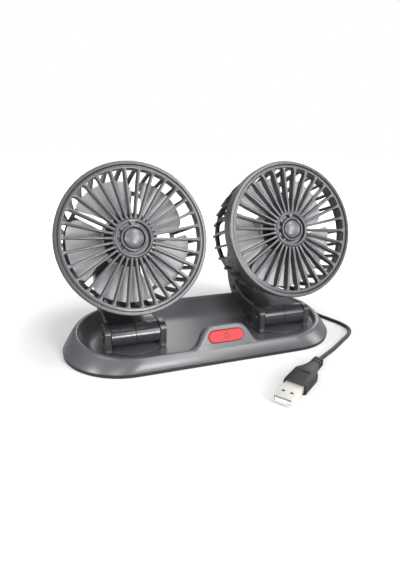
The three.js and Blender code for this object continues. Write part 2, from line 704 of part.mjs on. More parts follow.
// Stands a side outline [back, up] that was extruded along +Z across the X axis, at one side
function upright(geometry, side) {
  across(geometry);
  const start = BARREL_HALF_LENGTH + SEAT_GAP;
  geometry.translate(side > 0 ? start : -start - EAR_THICKNESS, 0, 0);
  return geometry.translate(0, -HINGE_FORWARD, HINGE_HEIGHT);
}

function retainer() {
  const ring = tube(SPIGOT_RADIUS + SEAT_GAP, RETAINER_RADIUS, RETAINER_LOW, RETAINER_TOP, MOTOR_STEPS);
  let body = solid(ring);
  for (const side of [-1, 1]) {
    const hole = rod(SWIVEL_SCREW_RADIUS + SEAT_GAP, RETAINER_LOW - WELD, RETAINER_TOP + WELD, HOLE_STEPS);
    body = body.subtract(solid(hole.translate(side * SWIVEL_SCREW_REACH, 0, 0)));
  }
  return body;
}

function tiltPin() {
  const end = BARREL_HALF_LENGTH + SEAT_GAP * 2 + EAR_THICKNESS;
  const head = end + PIN_HEAD_THICKNESS;
  const round = PIN_HEAD_THICKNESS / 2;
  const profile = [
    [0, -head], [PIN_HEAD_RADIUS - round, -head], [PIN_HEAD_RADIUS, round - head], [PIN_HEAD_RADIUS, -end],
    [PIN_RADIUS, -end], [PIN_RADIUS, end], [PIN_HEAD_RADIUS, end], [PIN_HEAD_RADIUS, head - round],
    [PIN_HEAD_RADIUS - round, head], [0, head],
  ];
  return turned(profile, PIN_STEPS).rotateY(degrees(90));
}

function smooth(table, steps) {
  const curve = new THREE.SplineCurve(table.map(([x, y]) => new THREE.Vector2(x, y)));
  return curve.getPoints(steps);
}

function armOutline(top) {
  const front = smooth(ARM_FRONT_EDGE, 10).filter((point) => point.y <= top);
  const back = smooth(ARM_BACK_EDGE, 12).filter((point) => point.y <= top);
  const barrel = [];
  for (let turn = 245; turn > 110; turn -= 25) {
    const x = BARREL_RADIUS * Math.cos(degrees(turn));
    barrel.push(new THREE.Vector2(x, BARREL_RADIUS * Math.sin(degrees(turn))));
  }
  return [...front, ...back, ...barrel].reverse();
}

// Moves each side of a counter-clockwise outline inward by a distance
function inset(outline, distance) {
  return outline.map((point, i) => {
    const before = outline[(i + outline.length - 1) % outline.length];
    const after = outline[(i + 1) % outline.length];
    const entry = point.clone().sub(before).normalize();
    const exit = after.clone().sub(point).normalize();
    const normal = new THREE.Vector2(-entry.y - exit.y, entry.x + exit.x).normalize();
    const spread = Math.max(normal.dot(new THREE.Vector2(-entry.y, entry.x)), 0.5);
    return point.clone().addScaledVector(normal, distance / spread);
  });
}

// Turns a side outline [back, up] extruded along +Z into one that lies across the X axis
function across(geometry) {
  return geometry.rotateX(degrees(90)).rotateZ(degrees(90));
}

function armFace(halfWidth, top) {
  const shape = new THREE.Shape();
  shape.moveTo(-halfWidth, -OVERRUN);
  shape.lineTo(halfWidth, -OVERRUN);
  shape.lineTo(halfWidth, top);
  shape.absarc(0, top, halfWidth, 0, degrees(180), false);
  shape.closePath();
  const face = prism(shape, OVERRUN * 3, 5);
  return solid(face.rotateX(degrees(90)).translate(0, OVERRUN * 2.5, 0));
}

function armOuter() {
  const outline = new THREE.Shape(inset(armOutline(OVERRUN * 3), ARM_BEVEL));
  const slab = new THREE.ExtrudeGeometry(outline, {
    depth: (ARM_HALF_WIDTH - ARM_BEVEL) * 2,
    bevelThickness: ARM_BEVEL,
    bevelSize: ARM_BEVEL,
    bevelSegments: 1,
  });
  slab.translate(0, 0, ARM_BEVEL - ARM_HALF_WIDTH);
  const pod = rod(POD_RADIUS, POD_LOW, POD_HIGH, 24).rotateX(degrees(-90)).translate(0, 0, FAN_RISE);
  return solid(across(slab)).intersect(armFace(ARM_HALF_WIDTH, ARM_TOP_RISE)).add(solid(pod));
}

// Two rods on the X axis, from a start outward to both sides
function sideRods(radius, start) {
  return union([-1, 1].map((side) => {
    const low = side > 0 ? start : -OVERRUN;
    return solid(rod(radius, low, low + OVERRUN - (side > 0 ? 0 : start), MOTOR_STEPS).rotateY(degrees(90)));
  }));
}

function armHollow() {
  const outline = new THREE.Shape(inset(armOutline(ARM_HOLLOW_TOP), ARM_WALL));
  const halfWidth = ARM_HALF_WIDTH - ARM_WALL;
  const slab = prism(outline, halfWidth * 2).translate(0, 0, -halfWidth);
  const nearHinge = sideRods(EAR_CLEARING + ARM_WALL, BARREL_HALF_LENGTH - ARM_WALL);
  const boss = solid(rod(PIN_BOSS_RADIUS, -OVERRUN, OVERRUN, PIN_STEPS).rotateY(degrees(90)));
  const podHollow = rod(POD_RADIUS - ARM_WALL, POD_LOW + ARM_WALL, POD_HOLLOW_HIGH, PIN_STEPS);
  podHollow.rotateX(degrees(-90)).translate(0, 0, FAN_RISE);
  return solid(across(slab)).subtract(nearHinge).subtract(boss).add(solid(podHollow));
}

// The space over the tray that the arm keeps clear of while it swivels, leaned into the arm's frame
function swivelBowl(sink) {
  const first = BOWL_PROFILE[0][1];
  const last = BOWL_PROFILE[BOWL_PROFILE.length - 1];
  const rim = BOWL_PROFILE.map(([reach, height]) => [reach, height - sink]);
  const profile = [
    [0, -OVERRUN], [OVERRUN * 2, -OVERRUN], [OVERRUN * 2, last[1] - sink], ...rim.reverse(),
    [0, first - sink],
  ];
  const bowl = turned(profile, 36).translate(0, HINGE_FORWARD, -HINGE_HEIGHT);
  return solid(bowl.rotateX(degrees(HEAD_TILT)));
}

function armScrewCut() {
  const rods = [
    rod(ARM_SCREW_HOLE, -OVERRUN, ARM_SCREW_HEAD_TOP + SEAT_GAP, PIN_STEPS),
    rod(ARM_SCREW_RADIUS + SEAT_GAP, ARM_SCREW_HEAD_TOP - WELD, ARM_SCREW_TIP + WELD, PIN_STEPS),
  ];
  return union(rods.map((cut) => solid(alongArmScrew(cut))));
}

function alongArmScrew(geometry) {
  return geometry.rotateY(degrees(90)).translate(0, ARM_SCREW_BACK, ARM_SCREW_RISE);
}

function armHalves() {
  const boss = rod(ARM_SCREW_BOSS, ARM_WALL / 2 - ARM_HALF_WIDTH, ARM_HALF_WIDTH - ARM_WALL / 2, PIN_STEPS);
  const bore = rod(PIN_RADIUS + RUNNING_GAP, -OVERRUN, OVERRUN, PIN_STEPS).rotateY(degrees(90));
  const hollow = armHollow().subtract(swivelBowl(-ARM_WALL));
  let body = armOuter().subtract(hollow).subtract(sideRods(EAR_CLEARING, BARREL_HALF_LENGTH));
  body = body.add(solid(alongArmScrew(boss))).subtract(swivelBowl(0));
  body = body.subtract(armScrewCut()).subtract(solid(bore));
  return [-1, 1].map((side) => {
    const block = new THREE.BoxGeometry(OVERRUN, OVERRUN * 5, OVERRUN * 7);
    return body.intersect(solid(block.translate(side * (OVERRUN + SEAT_GAP) / 2, 0, OVERRUN)));
  });
}

function armScrew() {
  const seat = ARM_SCREW_HEAD_TOP;
  const body = panScrew(ARM_SCREW_RADIUS, ARM_SCREW_HEAD, ARM_SCREW_HEAD_LOW, seat, ARM_SCREW_TIP);
  return alongArmScrew(shellOf(body));
}

// One fin of the rear cage, lofted from the rear ring forward into the band
function cageFin(turn) {
  const rings = FIN_OUTER_EDGE.map(([outer, outerHeight], i) => {
    const [inner, innerHeight] = FIN_INNER_EDGE[i];
    const around = new THREE.Vector3(0, 0, 1);
    const half = FIN_THICKNESS / 2;
    const corners = [
      new THREE.Vector3(inner, -half, innerHeight), new THREE.Vector3(outer, -half, outerHeight),
      new THREE.Vector3(outer, half, outerHeight), new THREE.Vector3(inner, half, innerHeight),
    ];
    return corners.map((corner) => corner.applyAxisAngle(around, degrees(turn)));
  });
  return solid(loft(rings));
}

function repeat(count, first, make) {
  return union(Array.from({ length: count }, (unused, i) => make(first + 360 * i / count)));
}

function rearCage() {
  const strutShape = new THREE.Shape(STRUT_OUTLINE.map(([x, y]) => new THREE.Vector2(x, y)));
  const struts = repeat(STRUT_COUNT, STRUT_FIRST, (turn) => {
    return solid(prism(strutShape, STRUT_DEPTH).translate(0, 0, STRUT_LOW).rotateZ(degrees(turn)));
  });
  const fins = repeat(FIN_COUNT, FIN_FIRST_DEGREES, cageFin);
  const cup = solid(turned(CAGE_CUP, MOTOR_STEPS));
  const band = solid(turned(CAGE_BAND, ROUND_STEPS));
  const rearTurn = FIN_FIRST_DEGREES - 180 / HUB_STEPS;
  const rear = solid(turned(REAR_RING, HUB_STEPS).rotateZ(degrees(rearTurn)));
  return band.add(rear).add(fins).add(struts).add(cup);
}

function frontGrille() {
  const spokeShape = new THREE.Shape(SPOKE_OUTLINE.map(([x, y]) => new THREE.Vector2(x, y)));
  const spokes = repeat(SPOKE_COUNT, SPOKE_FIRST_DEGREES, (turn) => {
    const spoke = prism(spokeShape, SPOKE_THICKNESS).translate(0, 0, -SPOKE_THICKNESS / 2);
    return solid(spoke.rotateX(degrees(90)).rotateZ(degrees(turn)));
  });
  const ringTurn = degrees(SPOKE_FIRST_DEGREES - 180 / HUB_STEPS);
  const ring = solid(turned(GRILLE_RING, HUB_STEPS).rotateZ(ringTurn));
  return ring.add(solid(turned(GRILLE_HUB, HUB_STEPS).rotateZ(ringTurn))).add(spokes);
}

// One fan blade, lofted outward through stations that share one pitch and camber
function blade(turn) {
  const rings = BLADE_RADII.map((reach, i) => {
    const points = [];
    for (const side of [1, -1]) {
      for (let step = 0; step <= BLADE_STEPS; step += 1) {
        const share = (side > 0 ? step : BLADE_STEPS - step) / BLADE_STEPS - 0.5;
        const angle = degrees(turn + BLADE_LEAN_DEGREES[i] + BLADE_SPAN_DEGREES[i] * share);
        const bow = BLADE_CAMBER * (1 - 4 * share * share);
        const height = BLADE_MIDDLE + BLADE_HEIGHTS[i] * share + bow + side * BLADE_THICKNESS / 2;
        points.push(new THREE.Vector3(reach * Math.cos(angle), reach * Math.sin(angle), height));
      }
    }
    return points;
  });
  return solid(loft(rings));
}

function fanBlades() {
  const bore = rod(BLADE_SLEEVE[0][0], -OVERRUN, 0, MOTOR_STEPS);
  const blades = repeat(BLADE_COUNT, BLADE_FIRST_DEGREES, blade);
  return solid(turned(BLADE_SLEEVE, MOTOR_STEPS)).add(blades).subtract(solid(bore));
}

function addHead(parent, side) {
  const frame = new THREE.Group();
  frame.name = `${side}_fan_frame`;
  frame.position.set(0, -FAN_FORWARD, FAN_RISE);
  frame.rotation.x = degrees(90);
  parent.add(frame);
  place(frame, `${side}_rear_cage`, rearCage(), 'cage');
  place(frame, `${side}_front_grille`, frontGrille(), 'grille');
  place(frame, `${side}_hub_cap`, turned(HUB_CAP, 24), 'cap');
  place(frame, `${side}_motor_stator`, turned(STATOR, MOTOR_STEPS), 'rotor');
  const fan = new THREE.Group();
  fan.name = `${side}_fan`;
  frame.add(fan);
  place(fan, `${side}_fan_blades`, fanBlades(), 'blade');
  place(fan, `${side}_rotor_cup`, turned(ROTOR_CUP, MOTOR_STEPS), 'rotor');
  place(fan, `${side}_motor_shaft`, rod(SHAFT_RADIUS, SHAFT_LOW, SHAFT_TOP, HOLE_STEPS), 'steel');
}

function addFan(side, sign) {
  const swivel = new THREE.Group();
  swivel.name = `${side}_swivel_frame`;
  swivel.position.set(sign * HEAD_SPACING / 2, SWIVEL_BACK, 0);
  part.add(swivel);
  place(swivel, `${side}_turntable`, turntable(), 'hinge');
  place(swivel, `${side}_retainer`, retainer(), 'steel');
  [-1, 1].forEach((hand, i) => {
    const head = SWIVEL_SCREW_HEAD;
    const body = panScrew(SWIVEL_SCREW_RADIUS, head, SWIVEL_SCREW_LOW, SWIVEL_SCREW_SEAT, SWIVEL_SCREW_TIP);
    place(swivel, `${side}_swivel_screw_${i + 1}`, body, 'steel').position.x = hand * SWIVEL_SCREW_REACH;
  });
  const hinge = new THREE.Group();
  hinge.name = `${side}_hinge_frame`;
  hinge.position.set(0, -HINGE_FORWARD, HINGE_HEIGHT);
  swivel.add(hinge);
  place(hinge, `${side}_tilt_pin`, tiltPin(), 'hinge');
  const arm = new THREE.Group();
  arm.name = `${side}_arm_frame`;
  arm.rotation.x = degrees(-HEAD_TILT);
  hinge.add(arm);
  const [leftHalf, rightHalf] = armHalves();
  place(arm, `${side}_arm_left_half`, leftHalf, 'hinge');
  place(arm, `${side}_arm_right_half`, rightHalf, 'hinge');
  place(arm, `${side}_arm_screw`, armScrew(), 'steel');
  addHead(arm, side);
}

function roundedSection(along, halfWidth, halfHeight) {
  const points = [];
  const corner = Math.min(halfWidth, halfHeight) * PLUG_CORNER_SHARE;
  for (let quarter = 0; quarter < 4; quarter += 1) {
    const signY = quarter === 0 || quarter === 3 ? 1 : -1;
    const signZ = quarter < 2 ? 1 : -1;
    for (let step = 0; step <= PLUG_CORNER_STEPS; step += 1) {
      const turn = degrees(90 * (quarter + step / PLUG_CORNER_STEPS));
      const y = signY * (halfWidth - corner) + corner * Math.cos(turn);
      const z = signZ * (halfHeight - corner) + corner * Math.sin(turn);
      points.push(new THREE.Vector3(along, y, z));
    }
  }
  return points;
}

function plugOvermould() {
  const rings = PLUG_STATIONS.map((along, i) => {
    return roundedSection(along, PLUG_HALF_WIDTHS[i], PLUG_HALF_HEIGHTS[i]);
  });
  const depth = PLUG_SHELL_LENGTH - PLUG_EXPOSED + SEAT_GAP;
  const width = PLUG_SHELL_WIDTH + SEAT_GAP * 2;
  const pocket = new THREE.BoxGeometry(depth * 2, width, PLUG_SHELL_HEIGHT + SEAT_GAP * 2);
  const recess = new THREE.BoxGeometry(PLUG_RECESS_LENGTH, PLUG_RECESS_WIDTH, PLUG_RECESS_DEPTH * 2);
  recess.translate(PLUG_RECESS_START + PLUG_RECESS_LENGTH / 2, 0, PLUG_HALF_HEIGHTS[1]);
  const body = solid(loft(rings)).subtract(solid(pocket)).subtract(solid(recess));
  return shellOf(body).translate(PLUG_EXPOSED, 0, 0);
}

function plugShell() {
  const length = PLUG_SHELL_LENGTH;
  const outer = new THREE.BoxGeometry(length, PLUG_SHELL_WIDTH, PLUG_SHELL_HEIGHT);
  const innerWidth = PLUG_SHELL_WIDTH - PLUG_SHELL_WALL * 2;
  const inner = new THREE.BoxGeometry(length * 2, innerWidth, PLUG_SHELL_HEIGHT - PLUG_SHELL_WALL * 2);
  let body = solid(outer.translate(length / 2, 0, 0)).subtract(solid(inner));
  for (const side of [-1, 1]) {
    const window = new THREE.BoxGeometry(PLUG_WINDOW, PLUG_WINDOW, OVERRUN);
    const along = PLUG_WINDOW_START + PLUG_WINDOW / 2;
    body = body.subtract(solid(window.translate(along, side * PLUG_WINDOW_OFFSET, 0)));
  }
  return body;
}

function plugTongue() {
  const length = TONGUE_END - TONGUE_START;
  const tongue = new THREE.BoxGeometry(length, TONGUE_WIDTH, TONGUE_HEIGHT);
  const drop = PLUG_SHELL_HEIGHT / 2 - PLUG_SHELL_WALL - SEAT_GAP - TONGUE_HEIGHT / 2;
  return tongue.translate(TONGUE_START + length / 2, 0, -drop);
}

function addPlug() {
  const plug = new THREE.Group();
  plug.name = 'plug_frame';
  plug.position.set(PLUG_X, PLUG_Y, PLUG_HEIGHT);
  plug.rotation.z = degrees(PLUG_TURN);
  part.add(plug);
  place(plug, 'plug_overmould', plugOvermould(), 'lead');
  place(plug, 'plug_shell', plugShell(), 'nickel');
  place(plug, 'plug_tongue', plugTongue(), 'tongue');
}

function ringShape(radius, sides) {
  const corners = Array.from({ length: sides }, (unused, i) => {
    const turn = degrees(360 * i / sides);
    return new THREE.Vector2(radius * Math.cos(turn), radius * Math.sin(turn));
  });
  return new THREE.Shape(corners);
}

function cordAlong(curve, steps, sides) {
  const settings = { extrudePath: curve, steps, bevelEnabled: false };
  return new THREE.ExtrudeGeometry(ringShape(CORD_RADIUS, sides), settings);
}

// Two flat spirals, one above the other: inward below, over in the innermost half turn, outward above
class StackedSpiral extends THREE.Curve {
  constructor() {
    super();
    this.loops = COIL_WHOLE_LOOPS + (COIL_ENTRY - COIL_EXIT) / 360;
    this.arcLengthDivisions = Math.round(this.loops * COIL_STEPS * 4);
  }

  getPoint(share, target = new THREE.Vector3()) {
    const loop = share * this.loops;
    const middle = this.loops / 2;
    const radius = COIL_OUTER - COIL_PITCH * (middle - Math.abs(loop - middle));
    const climb = THREE.MathUtils.smoothstep(loop, middle - COIL_CROSSING / 2, middle + COIL_CROSSING / 2);
    const angle = degrees(COIL_ENTRY - loop * 360);
    return target.set(radius * Math.cos(angle), radius * Math.sin(angle), CORD_LIFT + COIL_RISE * climb);
  }
}

function leastSelfGap(curve, count) {
  const points = curve.getSpacedPoints(count);
  const step = curve.getLength() / count;
  const apart = Math.ceil(CORD_RADIUS * 2 * Math.PI / step);
  let least = Infinity;
  points.forEach((point, i) => {
    for (let j = i + apart; j < points.length; j += 1) least = Math.min(least, point.distanceTo(points[j]));
  });
  return least - CORD_RADIUS * 2;
}

// A stretch of cord through its route, with a straight start and end
function addCord(name, start, startAim, route, end, endAim) {
  const lead = CORD_RADIUS * 2;
  const aimedStart = start.clone().addScaledVector(startAim, SEAT_GAP);
  const aimedEnd = end.clone().addScaledVector(endAim, -SEAT_GAP);
  const points = [
    aimedStart, aimedStart.clone().addScaledVector(startAim, lead),
    ...route.map(([x, y, z]) => new THREE.Vector3(x, y, z)),
    aimedEnd.clone().addScaledVector(endAim, -lead), aimedEnd,
  ];
  const curve = new THREE.CatmullRomCurve3(points, false, 'centripetal');
  const steps = Math.ceil(curve.getLength() / CORD_STEP);
  place(part, name, cordAlong(curve, Math.max(steps, 8), TUBE_SIDES), 'lead');
  console.log(name, 'length', curve.getLength().toFixed(1));
}

function addLead() {
  const spiral = new StackedSpiral();
  const steps = Math.round(spiral.loops * COIL_STEPS);
  const coil = place(part, 'cord_coil', cordAlong(spiral, steps, 6), 'lead');
  const middle = new THREE.Vector3(COIL_X, COIL_Y, 0);
  coil.position.copy(middle);
  const gap = leastSelfGap(spiral, steps * 6);
  console.log('cord_coil length', spiral.getLength().toFixed(1), 'least gap', gap.toFixed(2));
  const entry = spiral.getPoint(0).add(middle);
  const entryAim = spiral.getTangent(0);
  const exit = spiral.getPoint(1).add(middle);
  const exitAim = spiral.getTangent(1);
  const glandEnd = new THREE.Vector3(GLAND_X, GLAND_PROFILE[GLAND_PROFILE.length - 1][1], GLAND_HEIGHT);
  addCord('cord_near', glandEnd, new THREE.Vector3(0, 1, 0), NEAR_ROUTE, entry, entryAim);
  const plugAim = new THREE.Vector3(-Math.cos(degrees(PLUG_TURN)), -Math.sin(degrees(PLUG_TURN)), 0);
  const reach = PLUG_EXPOSED + PLUG_STATIONS[PLUG_STATIONS.length - 1];
  const plugEnd = new THREE.Vector3(PLUG_X, PLUG_Y, PLUG_HEIGHT).addScaledVector(plugAim, -reach);
  addCord('cord_far', exit, exitAim, FAR_ROUTE, plugEnd, plugAim);
}

addBase();
addFan('left', -1);
addFan('right', 1);
addPlug();
addLead();

export default part;
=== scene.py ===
# Dual head car fan on a white table: a dished grey base with a red push button, two hinged
# arms on turntables, two round fan heads with radial grilles, and a black USB lead. Sizes are
# in millimetres up to where they meet MM, and in metres from there.
import json
import math
import bmesh
import bpy
from mathutils import Matrix, Vector

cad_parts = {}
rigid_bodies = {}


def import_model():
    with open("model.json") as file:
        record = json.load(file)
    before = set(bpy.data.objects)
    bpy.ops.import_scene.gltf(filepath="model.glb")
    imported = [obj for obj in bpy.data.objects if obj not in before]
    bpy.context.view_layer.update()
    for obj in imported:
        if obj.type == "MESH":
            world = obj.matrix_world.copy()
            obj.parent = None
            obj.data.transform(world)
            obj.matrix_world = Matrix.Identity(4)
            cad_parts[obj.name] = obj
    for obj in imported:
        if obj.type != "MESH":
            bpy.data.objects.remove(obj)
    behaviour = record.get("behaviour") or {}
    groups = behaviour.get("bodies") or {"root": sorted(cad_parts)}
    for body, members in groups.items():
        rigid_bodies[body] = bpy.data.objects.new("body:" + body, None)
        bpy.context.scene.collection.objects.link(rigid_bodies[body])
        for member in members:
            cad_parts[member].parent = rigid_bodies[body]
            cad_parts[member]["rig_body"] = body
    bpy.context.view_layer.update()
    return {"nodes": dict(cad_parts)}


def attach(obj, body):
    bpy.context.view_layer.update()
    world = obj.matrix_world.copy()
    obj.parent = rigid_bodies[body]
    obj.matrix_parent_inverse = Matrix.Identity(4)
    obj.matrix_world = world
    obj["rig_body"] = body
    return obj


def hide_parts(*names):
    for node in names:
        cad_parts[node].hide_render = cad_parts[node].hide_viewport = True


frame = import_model()
nodes = frame["nodes"]
MM = 0.001


# The camera stands in front and to the left, a little above the heads, as in the photograph.
# Its place and aim come from the two round rims and the base outline.
camera = bpy.data.objects.new("camera", bpy.data.cameras.new("camera"))
bpy.context.scene.collection.objects.link(camera)
bpy.context.scene.camera = camera
camera.data.sensor_width = 36
camera.data.lens = 28.69
camera.data.clip_start = 0.01
CAMERA_PLACE = (-0.12198, -0.30491, 0.15559)
yaw, pitch, roll = math.radians(-21.22), math.radians(18.73), math.radians(1.51)
right = Vector((math.cos(yaw), math.sin(yaw), 0))
ahead = Vector((-math.sin(yaw) * math.cos(pitch), math.cos(yaw) * math.cos(pitch), -math.sin(pitch)))
up = right.cross(ahead)
across = right * math.cos(roll) + up * math.sin(roll)
upward = up * math.cos(roll) - right * math.sin(roll)
turn = Matrix((across, upward, -ahead)).transposed().to_4x4()
camera.matrix_world = Matrix.Translation(CAMERA_PLACE) @ turn


def linear(colour):
    """An sRGB hex colour as linear red, green, blue and one."""
    parts = [int(colour[i:i + 2], 16) / 255 for i in (0, 2, 4)]
    return [c / 12.92 if c <= 0.04045 else ((c + 0.055) / 1.055) ** 2.4 for c in parts] + [1]


def add(tree, kind, inputs=(), **settings):
    """Adds a shader node with its settings. A value that is a socket is linked."""
    made = tree.nodes.new(kind)
    for name, value in settings.items():
        setattr(made, name, value)
    for name, value in dict(inputs).items():
        socket = made.inputs[name]
        if isinstance(value, bpy.types.NodeSocket):
            tree.links.new(value, socket)
        else:
            socket.default_value = value
    return made


# The room is white to the camera. In reflections it is pale and grows brighter upwards, which
# shades the gloss of the plastic, and it gives the fan only a little light.
world = bpy.data.worlds.new("studio")
bpy.context.scene.world = world
world.use_nodes = True
sky = world.node_tree
sky.nodes.clear()
ray = add(sky, "ShaderNodeLightPath")
seen = add(sky, "ShaderNodeMath", {
    0: ray.outputs["Is Camera Ray"], 1: ray.outputs["Is Transmission Ray"]}, operation="MAXIMUM")
soft = add(sky, "ShaderNodeBackground", {"Color": linear("e6eaf2"), "Strength": 0.08})
way = add(sky, "ShaderNodeSeparateXYZ", {0: add(sky, "ShaderNodeTexCoord").outputs["Generated"]})
height = add(sky, "ShaderNodeMapRange", {
    "Value": way.outputs["Z"], "From Min": -0.1, "From Max": 0.9, "To Min": 0.12, "To Max": 1.15})
sheen = add(sky, "ShaderNodeBackground", {"Color": linear("eef0f6"), "Strength": height.outputs["Result"]})
white = add(sky, "ShaderNodeBackground", {"Color": linear("ffffff"), "Strength": 1})
room = add(sky, "ShaderNodeMixShader", {
    0: ray.outputs["Is Glossy Ray"], 1: soft.outputs[0], 2: sheen.outputs[0]})
both = add(sky, "ShaderNodeMixShader", {0: seen.outputs[0], 1: room.outputs[0], 2: white.outputs[0]})
add(sky, "ShaderNodeOutputWorld", {"Surface": both.outputs[0]})

# The table is a white paper sheet. It keeps the soft shadow near the fan, and between 12 and
# 27 cm from the middle it fades into a plain white glow that only the camera sees.
SHEET_HALF_SIZE = 3
floor_mesh = bpy.data.meshes.new("table")
sheet = bmesh.new()
bmesh.ops.create_grid(sheet, x_segments=1, y_segments=1, size=SHEET_HALF_SIZE)
sheet.to_mesh(floor_mesh)
sheet.free()
table = bpy.data.objects.new("table", floor_mesh)
bpy.context.scene.collection.objects.link(table)
paper = bpy.data.materials.new("white_table_sheet")
paper.use_nodes = True
tree = paper.node_tree
tree.nodes.clear()
ray = add(tree, "ShaderNodeLightPath")
place = add(tree, "ShaderNodeTexCoord").outputs["Object"]
away = add(tree, "ShaderNodeVectorMath", {0: place}, operation="LENGTH")
fade = add(tree, "ShaderNodeMapRange", {
    "Value": away.outputs["Value"], "From Min": 0.12, "From Max": 0.27, "To Min": 0.27, "To Max": 1})
lit = add(tree, "ShaderNodeBsdfDiffuse", {"Color": linear("bcbcbd"), "Roughness": 0.6})
glow = add(tree, "ShaderNodeEmission", {"Color": linear("ffffff"), "Strength": fade.outputs["Result"]})
dark = add(tree, "ShaderNodeEmission", {"Color": linear("000000"), "Strength": 0})
shown = add(tree, "ShaderNodeMixShader", {
    0: ray.outputs["Is Camera Ray"], 1: dark.outputs[0], 2: glow.outputs[0]})
total = add(tree, "ShaderNodeAddShader", {0: lit.outputs[0], 1: shown.outputs[0]})
add(tree, "ShaderNodeOutputMaterial", {"Surface": total.outputs[0]})
table.data.materials.append(paper)

# Soft boxes light the fan: three low in front, of which the right ones show as a sheen on the
# grilles and the front wall, one on the left, two above and one behind, which draw the bright
# lines along rims and barrels, and two low on the right for the end of the base and the plug.
LAMP_AIM = Vector((0, 0, 0.06))
for name, place, size, power in [
    ("front_left", (-0.6, -0.9, 0.3), 0.4, 3.4),
    ("front_right", (0.38, -0.86, 0.52), 0.48, 7.5),
    ("front_low", (0.14, -0.98, 0.14), 0.19, 5),
    ("left", (-0.95, -0.3, 0.3), 0.25, 5),
    ("high_left", (-0.5, -0.08, 0.8), 0.3, 2),
    ("above", (0.24, -0.36, 0.88), 0.3, 4.6),
    ("behind", (0.12, 0.85, 0.5), 0.35, 1.4),
    ("low_right", (0.9, -0.3, 0.2), 0.35, 3),
    ("back_right", (0.79, 0.62, 0.46), 0.4, 2.8),
]:
    lamp = bpy.data.lights.new(name, "AREA")
    lamp.energy = power
    lamp.size = size
    box = bpy.data.objects.new(name, lamp)
    bpy.context.scene.collection.objects.link(box)
    box.location = place
    box.rotation_euler = (LAMP_AIM - Vector(place)).to_track_quat("-Z", "Y").to_euler()


# Every surface has a fine grain that breaks its gloss and a colour that drifts a little over some
# centimetres: on plastic from the blasted mould and the cooling melt, on steel from the plating.
CLOUD_SIZE = 22 * MM
GLOSS_SPREAD = 0.04


def surface(name, colour, roughness, grain=0.35, depth=0.01, drift=0.05, metallic=0.0, sign=None,
            shade=0.4):
    """A finish with grain. A sign is a function whose mask darkens the colour to the shade: painted shade.
    """
    made = bpy.data.materials.new(name)
    made.use_nodes = True
    tree = made.node_tree
    tree.nodes.clear()
    place = add(tree, "ShaderNodeTexCoord").outputs["Object"]
    cloud = add(tree, "ShaderNodeTexNoise", {"Vector": place, "Scale": 1 / CLOUD_SIZE, "Detail": 3})
    fine = add(tree, "ShaderNodeTexNoise", {"Vector": place, "Scale": 1 / (grain * MM), "Detail": 2})
    base = linear(colour)
    low = [c * (1 - drift) for c in base[:3]] + [1]
    high = [min(1, c * (1 + drift)) for c in base[:3]] + [1]
    tint = add(tree, "ShaderNodeMix", {0: cloud.outputs["Fac"], 6: low, 7: high}, data_type="RGBA")
    gloss = add(tree, "ShaderNodeMapRange", {
        "Value": fine.outputs["Fac"], "To Min": roughness - GLOSS_SPREAD,
        "To Max": roughness + GLOSS_SPREAD})
    bump = add(tree, "ShaderNodeBump", {"Height": fine.outputs["Fac"], "Distance": depth * MM})
    if sign:
        painted_shade_mask = sign(tree, place)
        dark = [c * shade for c in base[:3]] + [1]
        tint = add(tree, "ShaderNodeMix", {0: painted_shade_mask, 6: tint.outputs[2], 7: dark}, data_type="RGBA")
    shader = add(tree, "ShaderNodeBsdfPrincipled", {
        "Base Color": tint.outputs[2], "Roughness": gloss.outputs[0], "Normal": bump.outputs[0]})
    shader.inputs["Metallic"].default_value = metallic
    add(tree, "ShaderNodeOutputMaterial", {"Surface": shader.outputs[0]})
    return made


# Pieces are closed skins that take the place of the solids and ride with their bodies. Points
# nearer than the seam gap are one, which closes seams and poles.
SEAM_GAP = 0.001


def settle(name, shape, node, finish, angle):
    """Makes an object of a bmesh, smooth but for edges over the angle, in place of a CAD node."""
    for face in shape.faces:
        face.smooth = True
    for edge in shape.edges:
        edge.smooth = edge.calc_face_angle(0) < math.radians(angle)
    mesh = bpy.data.meshes.new(name)
    shape.to_mesh(mesh)
    shape.free()
    mesh.materials.append(finish)
    piece = bpy.data.objects.new(name, mesh)
    bpy.context.scene.collection.objects.link(piece)
    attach(piece, nodes[node]["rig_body"] if node else "base")
    if node:
        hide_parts(node)


def finished(shape, matrix):
    """Closes the seams, turns the faces outward and puts the bmesh in its place."""
    bmesh.ops.remove_doubles(shape, verts=shape.verts, dist=SEAM_GAP)
    bmesh.ops.recalc_face_normals(shape, faces=shape.faces)
    bmesh.ops.transform(shape, matrix=matrix, verts=shape.verts)
    return shape


def lofted(shape, rings, ends=True):
    """Joins equal rings of points into a skin, with both ends closed or left open."""
    rows = [[shape.verts.new(point) for point in ring] for ring in rings]
    for row, after in zip(rows, rows[1:]):
        for i in range(len(row)):
            j = (i + 1) % len(row)
            shape.faces.new((row[i], row[j], after[j], after[i]))
    if ends:
        shape.faces.new(rows[0])
        shape.faces.new(rows[-1])
    return rows


